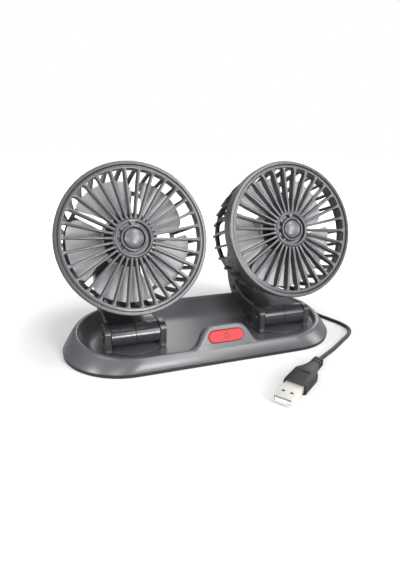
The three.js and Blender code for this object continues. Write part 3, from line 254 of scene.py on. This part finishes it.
# The base shell is one dished ABS moulding with a satin skin, lofted from rings shaped like a
# running track: a thin wall, the round rim and the hollow of the tray, with two round holes in
# the floor for the turntables. A raised part of the front wall holds the push button.
FOOT_HALF_LENGTH, FOOT_HALF_WIDTH, FOOT_HEIGHT = 107, 44.6, 3.2
RIM_HALF_LENGTH, RIM_HALF_WIDTH, RIM_SHIFT = 98, 42.2, 0.9
RIM_LAND, RIM_CROWN = 2.2, 0.5
RIM_MIDDLE, RIM_RISE = 16.1, 0.095
FLOOR_HALF_LENGTH, FLOOR_HALF_WIDTH, FLOOR_SHIFT, FLOOR_HEIGHT = 87.5, 25.6, -11.2, 9.5
SHELL_WALL = 2.1
WALL_BULGE = 0.5
TRAY_CURVE = 2.2
INNER_TRAY_SHARES = [1, 0.8, 0.6, 0.4, 0.2]
INNER_WALL_TOP = 0.72
WALL_SHARES = [0, 0.12, 0.25, 0.4, 0.55, 0.7, 0.82, 0.89]
TRAY_SHARES = [0.09, 0.12, 0.18, 0.25, 0.33, 0.42, 0.52, 0.64, 0.8, 1]
RIM_STEPS = 10
END_STEPS = 40
STEM_HOLE = 9.4
STEM_HOLE_SIDES = 48
STEM_X, STEM_Y = 58.7, -8.5
WALL_LEAN = math.radians(20.1)
HUMP_X, HUMP_START, HUMP_FOOT, HUMP_TOP, HUMP_DEPTH = 2.3, 4.5, 9.7, 25, 7.5
HUMP_FOOT_HALF, HUMP_TOP_HALF, HUMP_SKIRT = 23.2, 14.2, 4
HUMP_EASES = [0.4, 0.4, 0.4, 4.5, 5.5, 5.5, 4.5, 0.4]
HUMP_EDGE = 0.6
HUMP_ROUND = 1.5
HUMP_ROUND_STEPS = 6
HUMP_SIDES = 160
BUTTON_LENGTH, BUTTON_WIDTH, BUTTON_RISE = 26.4, 8.4, 16.9
PILL_STEPS = 16
BUTTON_PLAY, FLANGE_ROOM = 0.2, 0.85
POCKET_CHAMFER = 0.3
BUTTON_WALL = 1.8
POCKET_DEPTH = 6


def rim_height(y):
    """The height of the rim, which rises toward the back."""
    return RIM_MIDDLE + RIM_RISE * y


def track(half_length, half_width, shift, height):
    """Points round a track shape: two half rounds joined by straights."""
    points = []
    for side in (1, -1):
        for step in range(END_STEPS + 1):
            angle = math.pi * (step / END_STEPS - 0.5)
            x = side * (half_length - half_width + half_width * math.cos(angle))
            y = side * half_width * math.sin(angle) + shift
            points.append(Vector((x, y, height(y))))
    return points


def wall_ring(share, depth):
    """A ring of the outer wall at a share of its height, at a depth below its skin."""
    bulge = WALL_BULGE * 4 * share * (1 - share) - depth
    length = FOOT_HALF_LENGTH + (RIM_HALF_LENGTH - FOOT_HALF_LENGTH) * share + bulge
    width = FOOT_HALF_WIDTH + (RIM_HALF_WIDTH - FOOT_HALF_WIDTH) * share + bulge
    return track(length, width, RIM_SHIFT * share,
                 lambda y: FOOT_HEIGHT + (rim_height(y) - FOOT_HEIGHT) * share)


def rim_ring(inset, drop):
    """A ring set in from the rim's outer edge and lowered."""
    return track(RIM_HALF_LENGTH - inset, RIM_HALF_WIDTH - inset, RIM_SHIFT,
                 lambda y: rim_height(y) - drop)


def tray_ring(share, depth):
    """A ring of the hollow at a share of the way to the floor, at a depth below its skin."""
    floor = track(FLOOR_HALF_LENGTH, FLOOR_HALF_WIDTH, FLOOR_SHIFT, lambda y: FLOOR_HEIGHT)
    points = []
    for top, foot in zip(rim_ring(RIM_LAND, 0), floor):
        fall, run = top.z - foot.z, math.hypot(top.x - foot.x, top.y - foot.y)
        slope = TRAY_CURVE * (1 - share) ** (TRAY_CURVE - 1) * fall / run
        size = math.hypot(1, slope)
        spot = foot.lerp(top, 1 - share)
        away = Vector((top.x - foot.x, top.y - foot.y, 0)) / run * depth * slope / size
        z = foot.z + fall * (1 - share) ** TRAY_CURVE - depth / size
        points.append(Vector((spot.x, spot.y, z)) + away)
    return points


def eased(corners, eases, steps=6):
    """The outline through the corners, each rounded over its own length."""
    points = []
    for i, (corner, ease) in enumerate(zip(corners, eases)):
        a, b, c = Vector(corners[i - 1]), Vector(corner), Vector(corners[(i + 1) % len(corners)])
        start, end = b + (a - b).normalized() * ease, b + (c - b).normalized() * ease
        for step in range(steps + 1):
            t = step / steps
            points.append(start * (1 - t) ** 2 + b * 2 * t * (1 - t) + end * t ** 2)
    return points


def hump_outline(inset):
    """The outline of the raised part in the wall's plane, set in all round."""
    foot, top = HUMP_FOOT_HALF - inset, HUMP_TOP_HALF - inset
    skirt, low, crown = foot + HUMP_SKIRT, HUMP_FOOT - inset, HUMP_TOP - inset
    return eased([(-skirt, HUMP_START), (skirt, HUMP_START), (skirt, low), (foot, low), (top, crown),
                  (-top, crown), (-foot, low), (-skirt, low)], HUMP_EASES)


def pill(grow):
    """The button's outline in the wall's plane, grown all round."""
    radius = BUTTON_WIDTH / 2 + grow
    reach = (BUTTON_LENGTH - BUTTON_WIDTH) / 2
    turns = [math.pi * (i / PILL_STEPS - 0.5) for i in range(PILL_STEPS + 1)]
    ends = [(reach + radius * math.cos(t), BUTTON_RISE + radius * math.sin(t)) for t in turns]
    return [Vector(p) for p in ends + [(-x, 2 * BUTTON_RISE - y) for x, y in ends]]


def around(outline, level):
    """The outline cut by equal angles round the button's middle, set on the wall's plane."""
    middle = Vector((0, BUTTON_RISE))
    ring = []
    for i in range(HUMP_SIDES):
        way = Vector((math.cos(math.tau * i / HUMP_SIDES), math.sin(math.tau * i / HUMP_SIDES)))
        reaches = []
        for a, b in zip(outline, outline[1:] + outline[:1]):
            edge, start = b - a, a - middle
            turn = way.x * edge.y - way.y * edge.x
            if abs(turn) < 1e-9:
                continue
            reach = (start.x * edge.y - start.y * edge.x) / turn
            along = (start.x * way.y - start.y * way.x) / turn
            if reach > 0 and -1e-6 <= along <= 1 + 1e-6:
                reaches.append(reach)
        spot = middle + way * min(reaches)
        ring.append(Vector((
            HUMP_X + spot.x, -FOOT_HALF_WIDTH + spot.y * math.sin(WALL_LEAN) - level * math.cos(WALL_LEAN),
            FOOT_HEIGHT + spot.y * math.cos(WALL_LEAN) + level * math.sin(WALL_LEAN))))
    return ring


base_grey = surface("blasted_abs_base_grey", "4b4b4e", 0.3)
shape = bmesh.new()
rings = [tray_ring(share, SHELL_WALL) for share in INNER_TRAY_SHARES]
rings += [wall_ring(INNER_WALL_TOP, SHELL_WALL), wall_ring(0, SHELL_WALL)]
rings += [wall_ring(share, 0) for share in WALL_SHARES]
rim_curve = list(zip(wall_ring(WALL_SHARES[-1], 0), rim_ring(RIM_LAND / 2, -RIM_CROWN),
                     tray_ring(TRAY_SHARES[0], 0)))
for step in range(1, RIM_STEPS):
    t = step / RIM_STEPS
    rings.append([a * (1 - t) ** 2 + b * 2 * t * (1 - t) + c * t ** 2 for a, b, c in rim_curve])
rings += [tray_ring(share, 0) for share in TRAY_SHARES]
rows = lofted(shape, rings, ends=False)
holes = []
for side in (-1, 1):
    turns = [math.tau * i / STEM_HOLE_SIDES for i in range(STEM_HOLE_SIDES)]
    circle = [(side * STEM_X + STEM_HOLE * math.cos(t), STEM_Y + STEM_HOLE * math.sin(t)) for t in turns]
    pair = [[(x, y, height) for x, y in circle] for height in (FLOOR_HEIGHT - SHELL_WALL, FLOOR_HEIGHT)]
    holes.append(lofted(shape, pair, ends=False))
for i, row in ((0, rows[0]), (1, rows[-1])):
    loops = [row] + [hole[i] for hole in holes]
    edges = [shape.edges.get((a, b)) for loop in loops for a, b in zip(loop, loop[1:] + loop[:1])]
    bmesh.ops.triangle_fill(shape, use_beauty=True, edges=edges, normal=(0, 0, 1))
hump = [around(hump_outline(HUMP_EDGE), -HUMP_DEPTH), around(hump_outline(0), HUMP_EDGE - HUMP_DEPTH)]
for step in range(HUMP_ROUND_STEPS + 1):
    swing = math.radians(90 * step / HUMP_ROUND_STEPS)
    outline = hump_outline(HUMP_ROUND * (1 - math.cos(swing)))
    hump.append(around(outline, HUMP_ROUND * (math.sin(swing) - 1)))
for grow, level in [
    (BUTTON_PLAY + POCKET_CHAMFER, 0), (BUTTON_PLAY, -POCKET_CHAMFER), (BUTTON_PLAY, -BUTTON_WALL),
    (FLANGE_ROOM, -BUTTON_WALL), (FLANGE_ROOM, -POCKET_DEPTH),
]:
    hump.append(around(pill(grow), level))
lofted(shape, hump)
settle("base_shell_moulding", finished(shape, Matrix.Scale(MM, 4)), "base_shell", base_grey,
       angle=38)


def dress(node, finish, angle=32):
    """Gives a CAD node's place to a merged, smooth copy of it with its finish."""
    shape = bmesh.new()
    shape.from_mesh(nodes[node].data)
    bmesh.ops.remove_doubles(shape, verts=shape.verts, dist=0.002 * MM)
    bmesh.ops.dissolve_degenerate(shape, edges=shape.edges, dist=0.001 * MM)
    settle(node + "_skin", shape, node, finish, angle)


# The base plate closes the shell from below and shows as a dark line under it; its colour is
# painted near black as the shadow under the shell's foot. It is matt ABS, held by four screws,
# with a soft black pad bonded to its underside. A lip in the same painted shadow hides the pad's edge.
plate_painted_shadow = surface("matt_abs_plate_painted_shadow", "1f1f22", 0.6)
dress("base_plate", plate_painted_shadow)
LIP_PROFILE = [(3, 0.15), (0.9, 0.15), (0.35, 0.5), (0.2, 1), (0.2, 2.8), (0.5, 3.1), (3, 3.1)]
shape = bmesh.new()
rings = [track(FOOT_HALF_LENGTH - inset, FOOT_HALF_WIDTH - inset, 0, lambda y, level=level: level)
         for inset, level in LIP_PROFILE + LIP_PROFILE[:1]]
lofted(shape, rings, ends=False)
settle("base_plate_lip", finished(shape, Matrix.Scale(MM, 4)), None, plate_painted_shadow, angle=38)
dress("anti_slip_pad", surface("moulded_rubber", "1c1c1e", 0.85, grain=0.6))
steel = surface("zinc_plated_steel", "b9babd", 0.3, depth=0.004, metallic=1)
for i in (1, 2, 3, 4):
    dress(f"base_screw_{i}", steel)

# The push button is coral red ABS with a sunk power sign whose lines are painted darker as
# the shade in them. It works a dome switch on the inner wall of the shell; the board with the
# motor drive lies on two posts of the plate.
SIGN_MIDDLE = Vector((2.3, -38.79, 19.07)) * MM
SIGN_RADIUS = 1.85 * MM
SIGN_LINE = 0.6 * MM
SIGN_GAP = 0.6 * MM
SIGN_BAR_HALF = SIGN_RADIUS * 0.8


def power_sign_painted_shade(tree, place):
    """One on the lines of a power sign in the plane of the sloped wall, a ring and a bar, where shade is
    painted.
    """
    seen = add(tree, "ShaderNodeVectorMath", {0: place, 1: SIGN_MIDDLE}, operation="SUBTRACT").outputs[0]
    flat = []
    for way in ((1, 0, 0), (0, math.sin(WALL_LEAN), math.cos(WALL_LEAN))):
        share = add(tree, "ShaderNodeVectorMath", {0: seen, 1: way}, operation="DOT_PRODUCT")
        flat.append(share.outputs["Value"])
    spot = add(tree, "ShaderNodeCombineXYZ", {0: flat[0], 1: flat[1]}).outputs[0]
    reach = add(tree, "ShaderNodeVectorMath", {0: spot}, operation="LENGTH").outputs["Value"]

    def near(value, middle, half):
        return add(tree, "ShaderNodeMath", {0: value, 1: middle, 2: half}, operation="COMPARE").outputs[0]

    def joined(a, b, operation):
        return add(tree, "ShaderNodeMath", {0: a, 1: b}, operation=operation, use_clamp=True).outputs[0]

    ring = near(reach, SIGN_RADIUS, SIGN_LINE / 2)
    above = near(flat[1], SIGN_RADIUS, SIGN_BAR_HALF)
    gap = joined(near(flat[0], 0, SIGN_GAP), above, "MULTIPLY")
    bar = joined(near(flat[0], 0, SIGN_LINE / 2), above, "MULTIPLY")
    return joined(joined(ring, gap, "SUBTRACT"), bar, "MAXIMUM")


# The sign's lines get painted shade: the coral is darkened to 0.08 of itself in them.
coral = surface("moulded_abs_coral_red", "b61d24", 0.58, drift=0.03, sign=power_sign_painted_shade, shade=0.08)
dress("power_button", coral)
rotor_black = surface("moulded_abs_black", "161617", 0.5)
dress("power_switch", rotor_black)
dress("circuit_board", surface("green_solder_mask", "1f5d39", 0.5))

# Each turntable is a dark ABS disc with two ears. It turns on the floor of the shell, held from
# below by a steel washer and two screws; a pin with round heads goes through its ears.
EARS_FROM = 12.4 * MM


def ears(tree, place):
    """One above the disc, where the ears get painted shade: their colour is darkened."""
    height = add(tree, "ShaderNodeSeparateXYZ", {0: place}).outputs["Z"]
    return add(tree, "ShaderNodeMath", {0: height, 1: EARS_FROM}, operation="GREATER_THAN").outputs[0]


hinge_grey = surface("polished_abs_dark_grey", "2c2c2f", 0.22)
# The turntable is one grey moulding; above the disc its colour is darkened as painted shade on the ears.
disc_grey_ears_painted_shade = surface("blasted_abs_disc_grey", "4c4c4f", 0.28, sign=ears)
for side in ("left", "right"):
    dress(f"{side}_turntable", disc_grey_ears_painted_shade)
    dress(f"{side}_tilt_pin", hinge_grey)
    dress(f"{side}_retainer", steel)
    dress(f"{side}_swivel_screw_1", steel)
    dress(f"{side}_swivel_screw_2", steel)

# The arms are two polished ABS half shells, split along the middle and joined by one screw.
# They swing on the pin and widen behind the head into the round seat of the motor cup.
for side in ("left", "right"):
    dress(f"{side}_arm_left_half", hinge_grey, angle=40)
    dress(f"{side}_arm_right_half", hinge_grey, angle=40)
    dress(f"{side}_arm_screw", steel)

# The rear cages are single ABS mouldings: a band, thirty fins, a rear ring, five struts and the
# cup that carries the motor.
cage_grey = surface("moulded_abs_cage_grey", "3e3e40", 0.27)
for side in ("left", "right"):
    dress(f"{side}_rear_cage", cage_grey)


# The front of each head lies in a leaned plane. A point is given as across, up and forward
# from the middle of the front rim.
HEAD_REACH = 58.7 * MM
HEAD_BACK = -23.366 * MM
HEAD_HEIGHT = 89.519 * MM
LEAN = math.radians(19.2)
heads = {}
for side, sign in (("left", -1), ("right", 1)):
    sin, cos = math.sin(LEAN), math.cos(LEAN)
    lean = Matrix(((1, 0, 0), (0, sin, -cos), (0, cos, sin))).to_4x4()
    middle = Matrix.Translation((sign * HEAD_REACH, HEAD_BACK, HEAD_HEIGHT))
    heads[side] = middle @ lean @ Matrix.Scale(MM, 4)


def spun(shape, profile, steps, closed=True):
    """Turns a profile of radius and height about the head's axis into the bmesh."""
    corners = [shape.verts.new((radius, 0, height)) for radius, height in profile]
    pairs = list(zip(corners, corners[1:]))
    if closed:
        pairs.append((corners[-1], corners[0]))
    edges = [shape.edges.new(pair) for pair in pairs]
    bmesh.ops.spin(shape, geom=corners + edges, cent=(0, 0, 0), axis=(0, 0, 1), angle=math.tau,
                   steps=steps, use_merge=True, use_duplicate=False)


# The front grille is one ABS moulding seated in the bezel: a ring, thirty tapering spokes with
# eased edges that flare into the ring, and a dished hub whose raised lip holds the cap. A bridge
# and four low bosses break the recess round the lip.
GRILLE_RING = [
    (45.1, -5.5), (46, -5.5), (46, -3.7), (47.4, -3.7), (47.4, -1), (47.1, -0.7), (46.2, -0.55),
    (45.5, -0.5), (45.2, -0.62), (45.1, -0.85),
]
GRILLE_HUB = [
    (9, -6.8), (13.2, -6.8), (13.2, -1.6), (12.9, -1.1), (12.3, -0.6), (11.7, -0.45), (11.2, -0.6),
    (10.9, -1), (10.7, -3.4), (8.9, -3.4), (8.7, -0.5), (8.5, 0), (8.1, 0.2), (7.6, 0.2), (7.3, 0),
    (7.15, -0.5), (7.1, -3.2), (0.001, -3.2), (0.001, -5), (9, -5),
]
RING_SIDES, HUB_SIDES = 120, 96
SPOKE_COUNT = 30
SPOKE_FIRST_DEGREES = 8.2
SPOKE_RADII = [12.6, 13.3, 13.9, 14.8, 20, 30, 38, 42, 43.2, 44, 44.6, 45, 45.5]
SPOKE_HALF_WIDTHS = [1.38, 1.3, 0.95, 0.78, 0.78, 0.85, 0.85, 0.86, 0.9, 1.05, 1.4, 2, 2.7]
SPOKE_FRONTS = [-1.5, -1.5, -1.5, -1.5, -1.4, -1.25, -1.1, -1, -0.98, -0.95, -0.93, -0.9, -0.9]
SPOKE_BACKS = [-6.5, -6.5, -6.5, -6.5, -6.7, -7, -7.2, -6.1, -5.8, -5.6, -5.5, -5.4, -5.3]
SPOKE_EASE = 0.4
SPOKE_EDGE = SPOKE_EASE * 0.3
BRIDGE_ENDS = [(8.4, 0.5), (11.2, 2)]
BRIDGE_FOOT, BRIDGE_TOP = -2.4, -0.7
BOSS_DEGREES = [138, 168, 198, 228]
BOSS_PLACE = (9.8, 0, -2.6)
BOSS_FOOT_RADIUS, BOSS_TOP_RADIUS, BOSS_HEIGHT, BOSS_SIDES = 1.3, 1.05, 1.8, 20
grille_grey = surface("moulded_abs_grille_grey", "404043", 0.27)
for side in ("left", "right"):
    shape = bmesh.new()
    spun(shape, GRILLE_RING, RING_SIDES)
    spun(shape, GRILLE_HUB, HUB_SIDES)
    for spoke in range(SPOKE_COUNT):
        angle = math.radians(SPOKE_FIRST_DEGREES) + math.tau * spoke / SPOKE_COUNT
        out = Vector((math.cos(angle), math.sin(angle), 0))
        along = Vector((-math.sin(angle), math.cos(angle), 0))
        rings = []
        for reach, half, front, back in zip(SPOKE_RADII, SPOKE_HALF_WIDTHS, SPOKE_FRONTS, SPOKE_BACKS):
            section = [
                (-half, back), (half, back), (half, front - SPOKE_EASE),
                (half - SPOKE_EDGE, front - SPOKE_EDGE), (half - SPOKE_EASE, front),
                (SPOKE_EASE - half, front), (SPOKE_EDGE - half, front - SPOKE_EDGE),
                (-half, front - SPOKE_EASE),
            ]
            rings.append([out * reach + along * a + Vector((0, 0, b)) for a, b in section])
        lofted(shape, rings)
    bridge = [[(half, reach, BRIDGE_FOOT), (-half, reach, BRIDGE_FOOT), (-half, reach, BRIDGE_TOP),
               (half, reach, BRIDGE_TOP)] for reach, half in BRIDGE_ENDS]
    lofted(shape, bridge)
    for degrees in BOSS_DEGREES:
        spot = Matrix.Rotation(math.radians(degrees), 4, "Z") @ Matrix.Translation(BOSS_PLACE)
        bmesh.ops.create_cone(shape, cap_ends=True, segments=BOSS_SIDES, radius1=BOSS_FOOT_RADIUS,
                              radius2=BOSS_TOP_RADIUS, depth=BOSS_HEIGHT, matrix=spot)
    settle(f"{side}_grille_moulding", finished(shape, heads[side]), f"{side}_front_grille", grille_grey,
           angle=35)

# The hub caps are small domes with a fine metallic lacquer, pushed into the lip of the hub.
CAP_PROFILE = [
    (0, -2.9), (6.6, -2.9), (6.6, -0.6), (6.5, -0.2), (6.1, 0.4), (5.3, 0.95), (4.2, 1.4), (2.8, 1.75),
    (1.4, 1.95), (0, 2),
]
CAP_SIDES = 64
cap_grey = surface("metallic_lacquer_cap", "5c5c62", 0.36, grain=0.15, depth=0.003, metallic=0.35)
for side in ("left", "right"):
    shape = bmesh.new()
    spun(shape, CAP_PROFILE, CAP_SIDES, closed=False)
    settle(f"{side}_cap_dome", finished(shape, heads[side]), f"{side}_hub_cap", cap_grey, angle=50)

# Each fan is a light grey moulding: five curved blades on a sleeve, pressed over the black cup
# of the motor's rotor, whose steel shaft turns in the stator.
BLADE_COUNT = 5
BLADE_FIRST_DEGREES = 40
BLADE_RADII = [18.3, 21.5, 25, 29.5, 34.4, 37, 39.4, 40.7, 41.5]
BLADE_SPANS = [47, 53, 58, 62, 65, 64, 61, 55, 45]
BLADE_SWEEPS = [0, -0.6, -1, -0.3, 1, 2.4, 4, 5, 6]
BLADE_HEIGHTS = [10.5, 10, 9.5, 8.6, 7.6, 6.8, 6, 5.2, 4.4]
BLADE_MIDDLE, BLADE_CAMBER, BLADE_HALF_THICKNESS = -18, 1.6, 0.55
BLADE_STEPS = 12
SLEEVE_PROFILE = [(17.8, -26.6), (18.9, -26.6), (18.9, -12.9), (17.8, -12.9)]
SLEEVE_SIDES = 64
blade_grey = surface("moulded_abs_blade_grey", "b4b4b6", 0.45)
for side in ("left", "right"):
    shape = bmesh.new()
    spun(shape, SLEEVE_PROFILE, SLEEVE_SIDES)
    for blade in range(BLADE_COUNT):
        first = BLADE_FIRST_DEGREES + 360 / BLADE_COUNT * blade
        rings = []
        for reach, span, sweep, rise in zip(BLADE_RADII, BLADE_SPANS, BLADE_SWEEPS, BLADE_HEIGHTS):
            points = []
            for face in (1, -1):
                for step in range(BLADE_STEPS + 1):
                    share = (step if face > 0 else BLADE_STEPS - step) / BLADE_STEPS - 0.5
                    angle = math.radians(first + sweep + span * share)
                    height = (BLADE_MIDDLE + rise * share + BLADE_CAMBER * (1 - 4 * share * share)
                              + face * BLADE_HALF_THICKNESS)
                    points.append((reach * math.cos(angle), reach * math.sin(angle), height))
            rings.append(points)
        lofted(shape, rings)
    settle(f"{side}_blade_moulding", finished(shape, heads[side]), f"{side}_fan_blades", blade_grey,
           angle=40)
    dress(f"{side}_rotor_cup", rotor_black, angle=50)
    dress(f"{side}_motor_stator", rotor_black, angle=50)
    dress(f"{side}_motor_shaft", steel, angle=50)

# The plug is black PVC moulded over a pressed nickel shell with two square windows; a white
# tongue inside carries the contacts, and a thin black sheet under the windows is painted shade
# for the dark hollow seen through them. Two ribs take the strain where the lead goes in.
PLUG_TIP = Vector((11, -103.4, 4.1)) * MM
PLUG_TURN = math.radians(35)
SHADE_SHEET_LENGTH, SHADE_SHEET_WIDTH, SHADE_SHEET_THICKNESS = 15.8, 10.8, 0.4
SHADE_SHEET_MIDDLE = (9.1, 0, 1.55)
lead_black = surface("moulded_black_pvc", "0b0b0d", 0.55, grain=0.5)
nickel = surface("nickel_plated_steel", "fbf8ee", 0.4, depth=0.003, metallic=0.75)
dress("plug_overmould", lead_black, angle=25)
dress("plug_shell", nickel)
dress("plug_tongue", surface("moulded_white_pbt", "efefec", 0.45))
# A thin black sheet under the windows: painted shade for the hollow inside the shell.
shape = bmesh.new()
bmesh.ops.create_cube(shape, size=1, matrix=Matrix.Diagonal((SHADE_SHEET_LENGTH, SHADE_SHEET_WIDTH, SHADE_SHEET_THICKNESS, 1)))
bmesh.ops.transform(shape, matrix=Matrix.Translation(SHADE_SHEET_MIDDLE), verts=shape.verts)
plug_turn = Matrix.Translation(PLUG_TIP) @ Matrix.Rotation(PLUG_TURN, 4, "Z")
bmesh.ops.transform(shape, matrix=plug_turn @ Matrix.Scale(MM, 4), verts=shape.verts)
settle("plug_window_shade_sheet", shape, None, rotor_black, angle=38)
dress("cord_gland", lead_black)

# The lead is a limp black PVC cord, 3 mm thick. It leaves the boot in the back wall, its spare
# length is wound in a flat coil behind the right head, and its free end runs round the base.
CORD_DIAMETER = 3 * MM
GLAND_END = Vector((58, 57, 8.2)) * MM
PLUG_REACH = 61.5 * MM
CORD_IN_PLUG = 3 * MM
COIL_MIDDLE = Vector((88, 70, 0)) * MM
COIL_OUTER = 22.42 * MM
COIL_PITCH = 3.6 * MM
COIL_LIFT = 1.6 * MM
COIL_RISE = 3.5 * MM
COIL_ENTRY_DEGREES = 165
COIL_LOOPS = 6 + COIL_ENTRY_DEGREES / 360
CLIMB_LOOPS = 0.5
POINTS_PER_LOOP = 24
POINTS_PER_KNOT = 3
NEAR_ROUTE = [(58, 60.6, 8.2), (58.4, 64.6, 6.4), (60, 69.4, 3)]
FAR_ROUTE = [
    (113.3, 58, 4.2), (112.8, 48, 2.3), (112.4, 36, 1.6), (112.8, 22, 1.6), (115.4, 8, 1.6),
    (119.6, -4, 1.6), (122.45, -14, 1.6), (121.8, -24, 1.6), (115, -32.6, 1.6), (102, -41.4, 1.6),
    (86, -51.9, 1.8), (74, -59.6, 3),
]


def coil_point(loop):
    """A point of the coil, which winds inward below, climbs, and winds outward above."""
    middle = COIL_LOOPS / 2
    reach = COIL_OUTER - COIL_PITCH * (middle - abs(loop - middle))
    climb = min(1, max(0, (loop - middle + CLIMB_LOOPS / 2) / CLIMB_LOOPS))
    climb = climb * climb * (3 - 2 * climb)
    angle = math.radians(COIL_ENTRY_DEGREES - loop * 360)
    level = COIL_LIFT + COIL_RISE * climb
    return COIL_MIDDLE + Vector((reach * math.cos(angle), reach * math.sin(angle), level))


def smooth_run(knots, pieces):
    """Points along a smooth line through the knots."""
    points = []
    ends = [knots[0] * 2 - knots[1]] + knots + [knots[-1] * 2 - knots[-2]]
    for a, b, c, d in zip(ends, ends[1:], ends[2:], ends[3:]):
        for i in range(pieces):
            t = i / pieces
            points.append(((b * 2) + (c - a) * t + (a * 2 - b * 5 + c * 4 - d) * t ** 2
                           + (b * 3 - a - c * 3 + d) * t ** 3) / 2)
    return points + [knots[-1]]


plug_aim = Vector((math.cos(PLUG_TURN), math.sin(PLUG_TURN), 0))
plug_end = PLUG_TIP + plug_aim * PLUG_REACH
cord_knots = [GLAND_END, GLAND_END + Vector((0, CORD_DIAMETER, 0))]
cord_knots += [Vector(p) * MM for p in NEAR_ROUTE]
steps = round(COIL_LOOPS * POINTS_PER_LOOP)
cord_knots += [coil_point(COIL_LOOPS * i / steps) for i in range(steps + 1)]
cord_knots += [Vector(p) * MM for p in FAR_ROUTE]
cord_knots += [plug_end + plug_aim * CORD_DIAMETER, plug_end, plug_end - plug_aim * CORD_IN_PLUG]
cord_path = smooth_run(cord_knots, POINTS_PER_KNOT)
cord_curve = bpy.data.curves.new("lead", "CURVE")
cord_curve.dimensions = "3D"
cord_curve.bevel_depth = CORD_DIAMETER / 2
cord_curve.bevel_resolution = 4
cord_curve.use_fill_caps = True
line = cord_curve.splines.new("POLY")
line.points.add(len(cord_path) - 1)
for point, place in zip(line.points, cord_path):
    point.co = (*place, 1)
line.use_smooth = True
lead = bpy.data.objects.new("lead", cord_curve)
bpy.context.scene.collection.objects.link(lead)
lead.data.materials.append(lead_black)
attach(lead, "base")
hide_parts("cord_near", "cord_coil", "cord_far")

bpy.context.scene.view_settings.view_transform = "Standard"
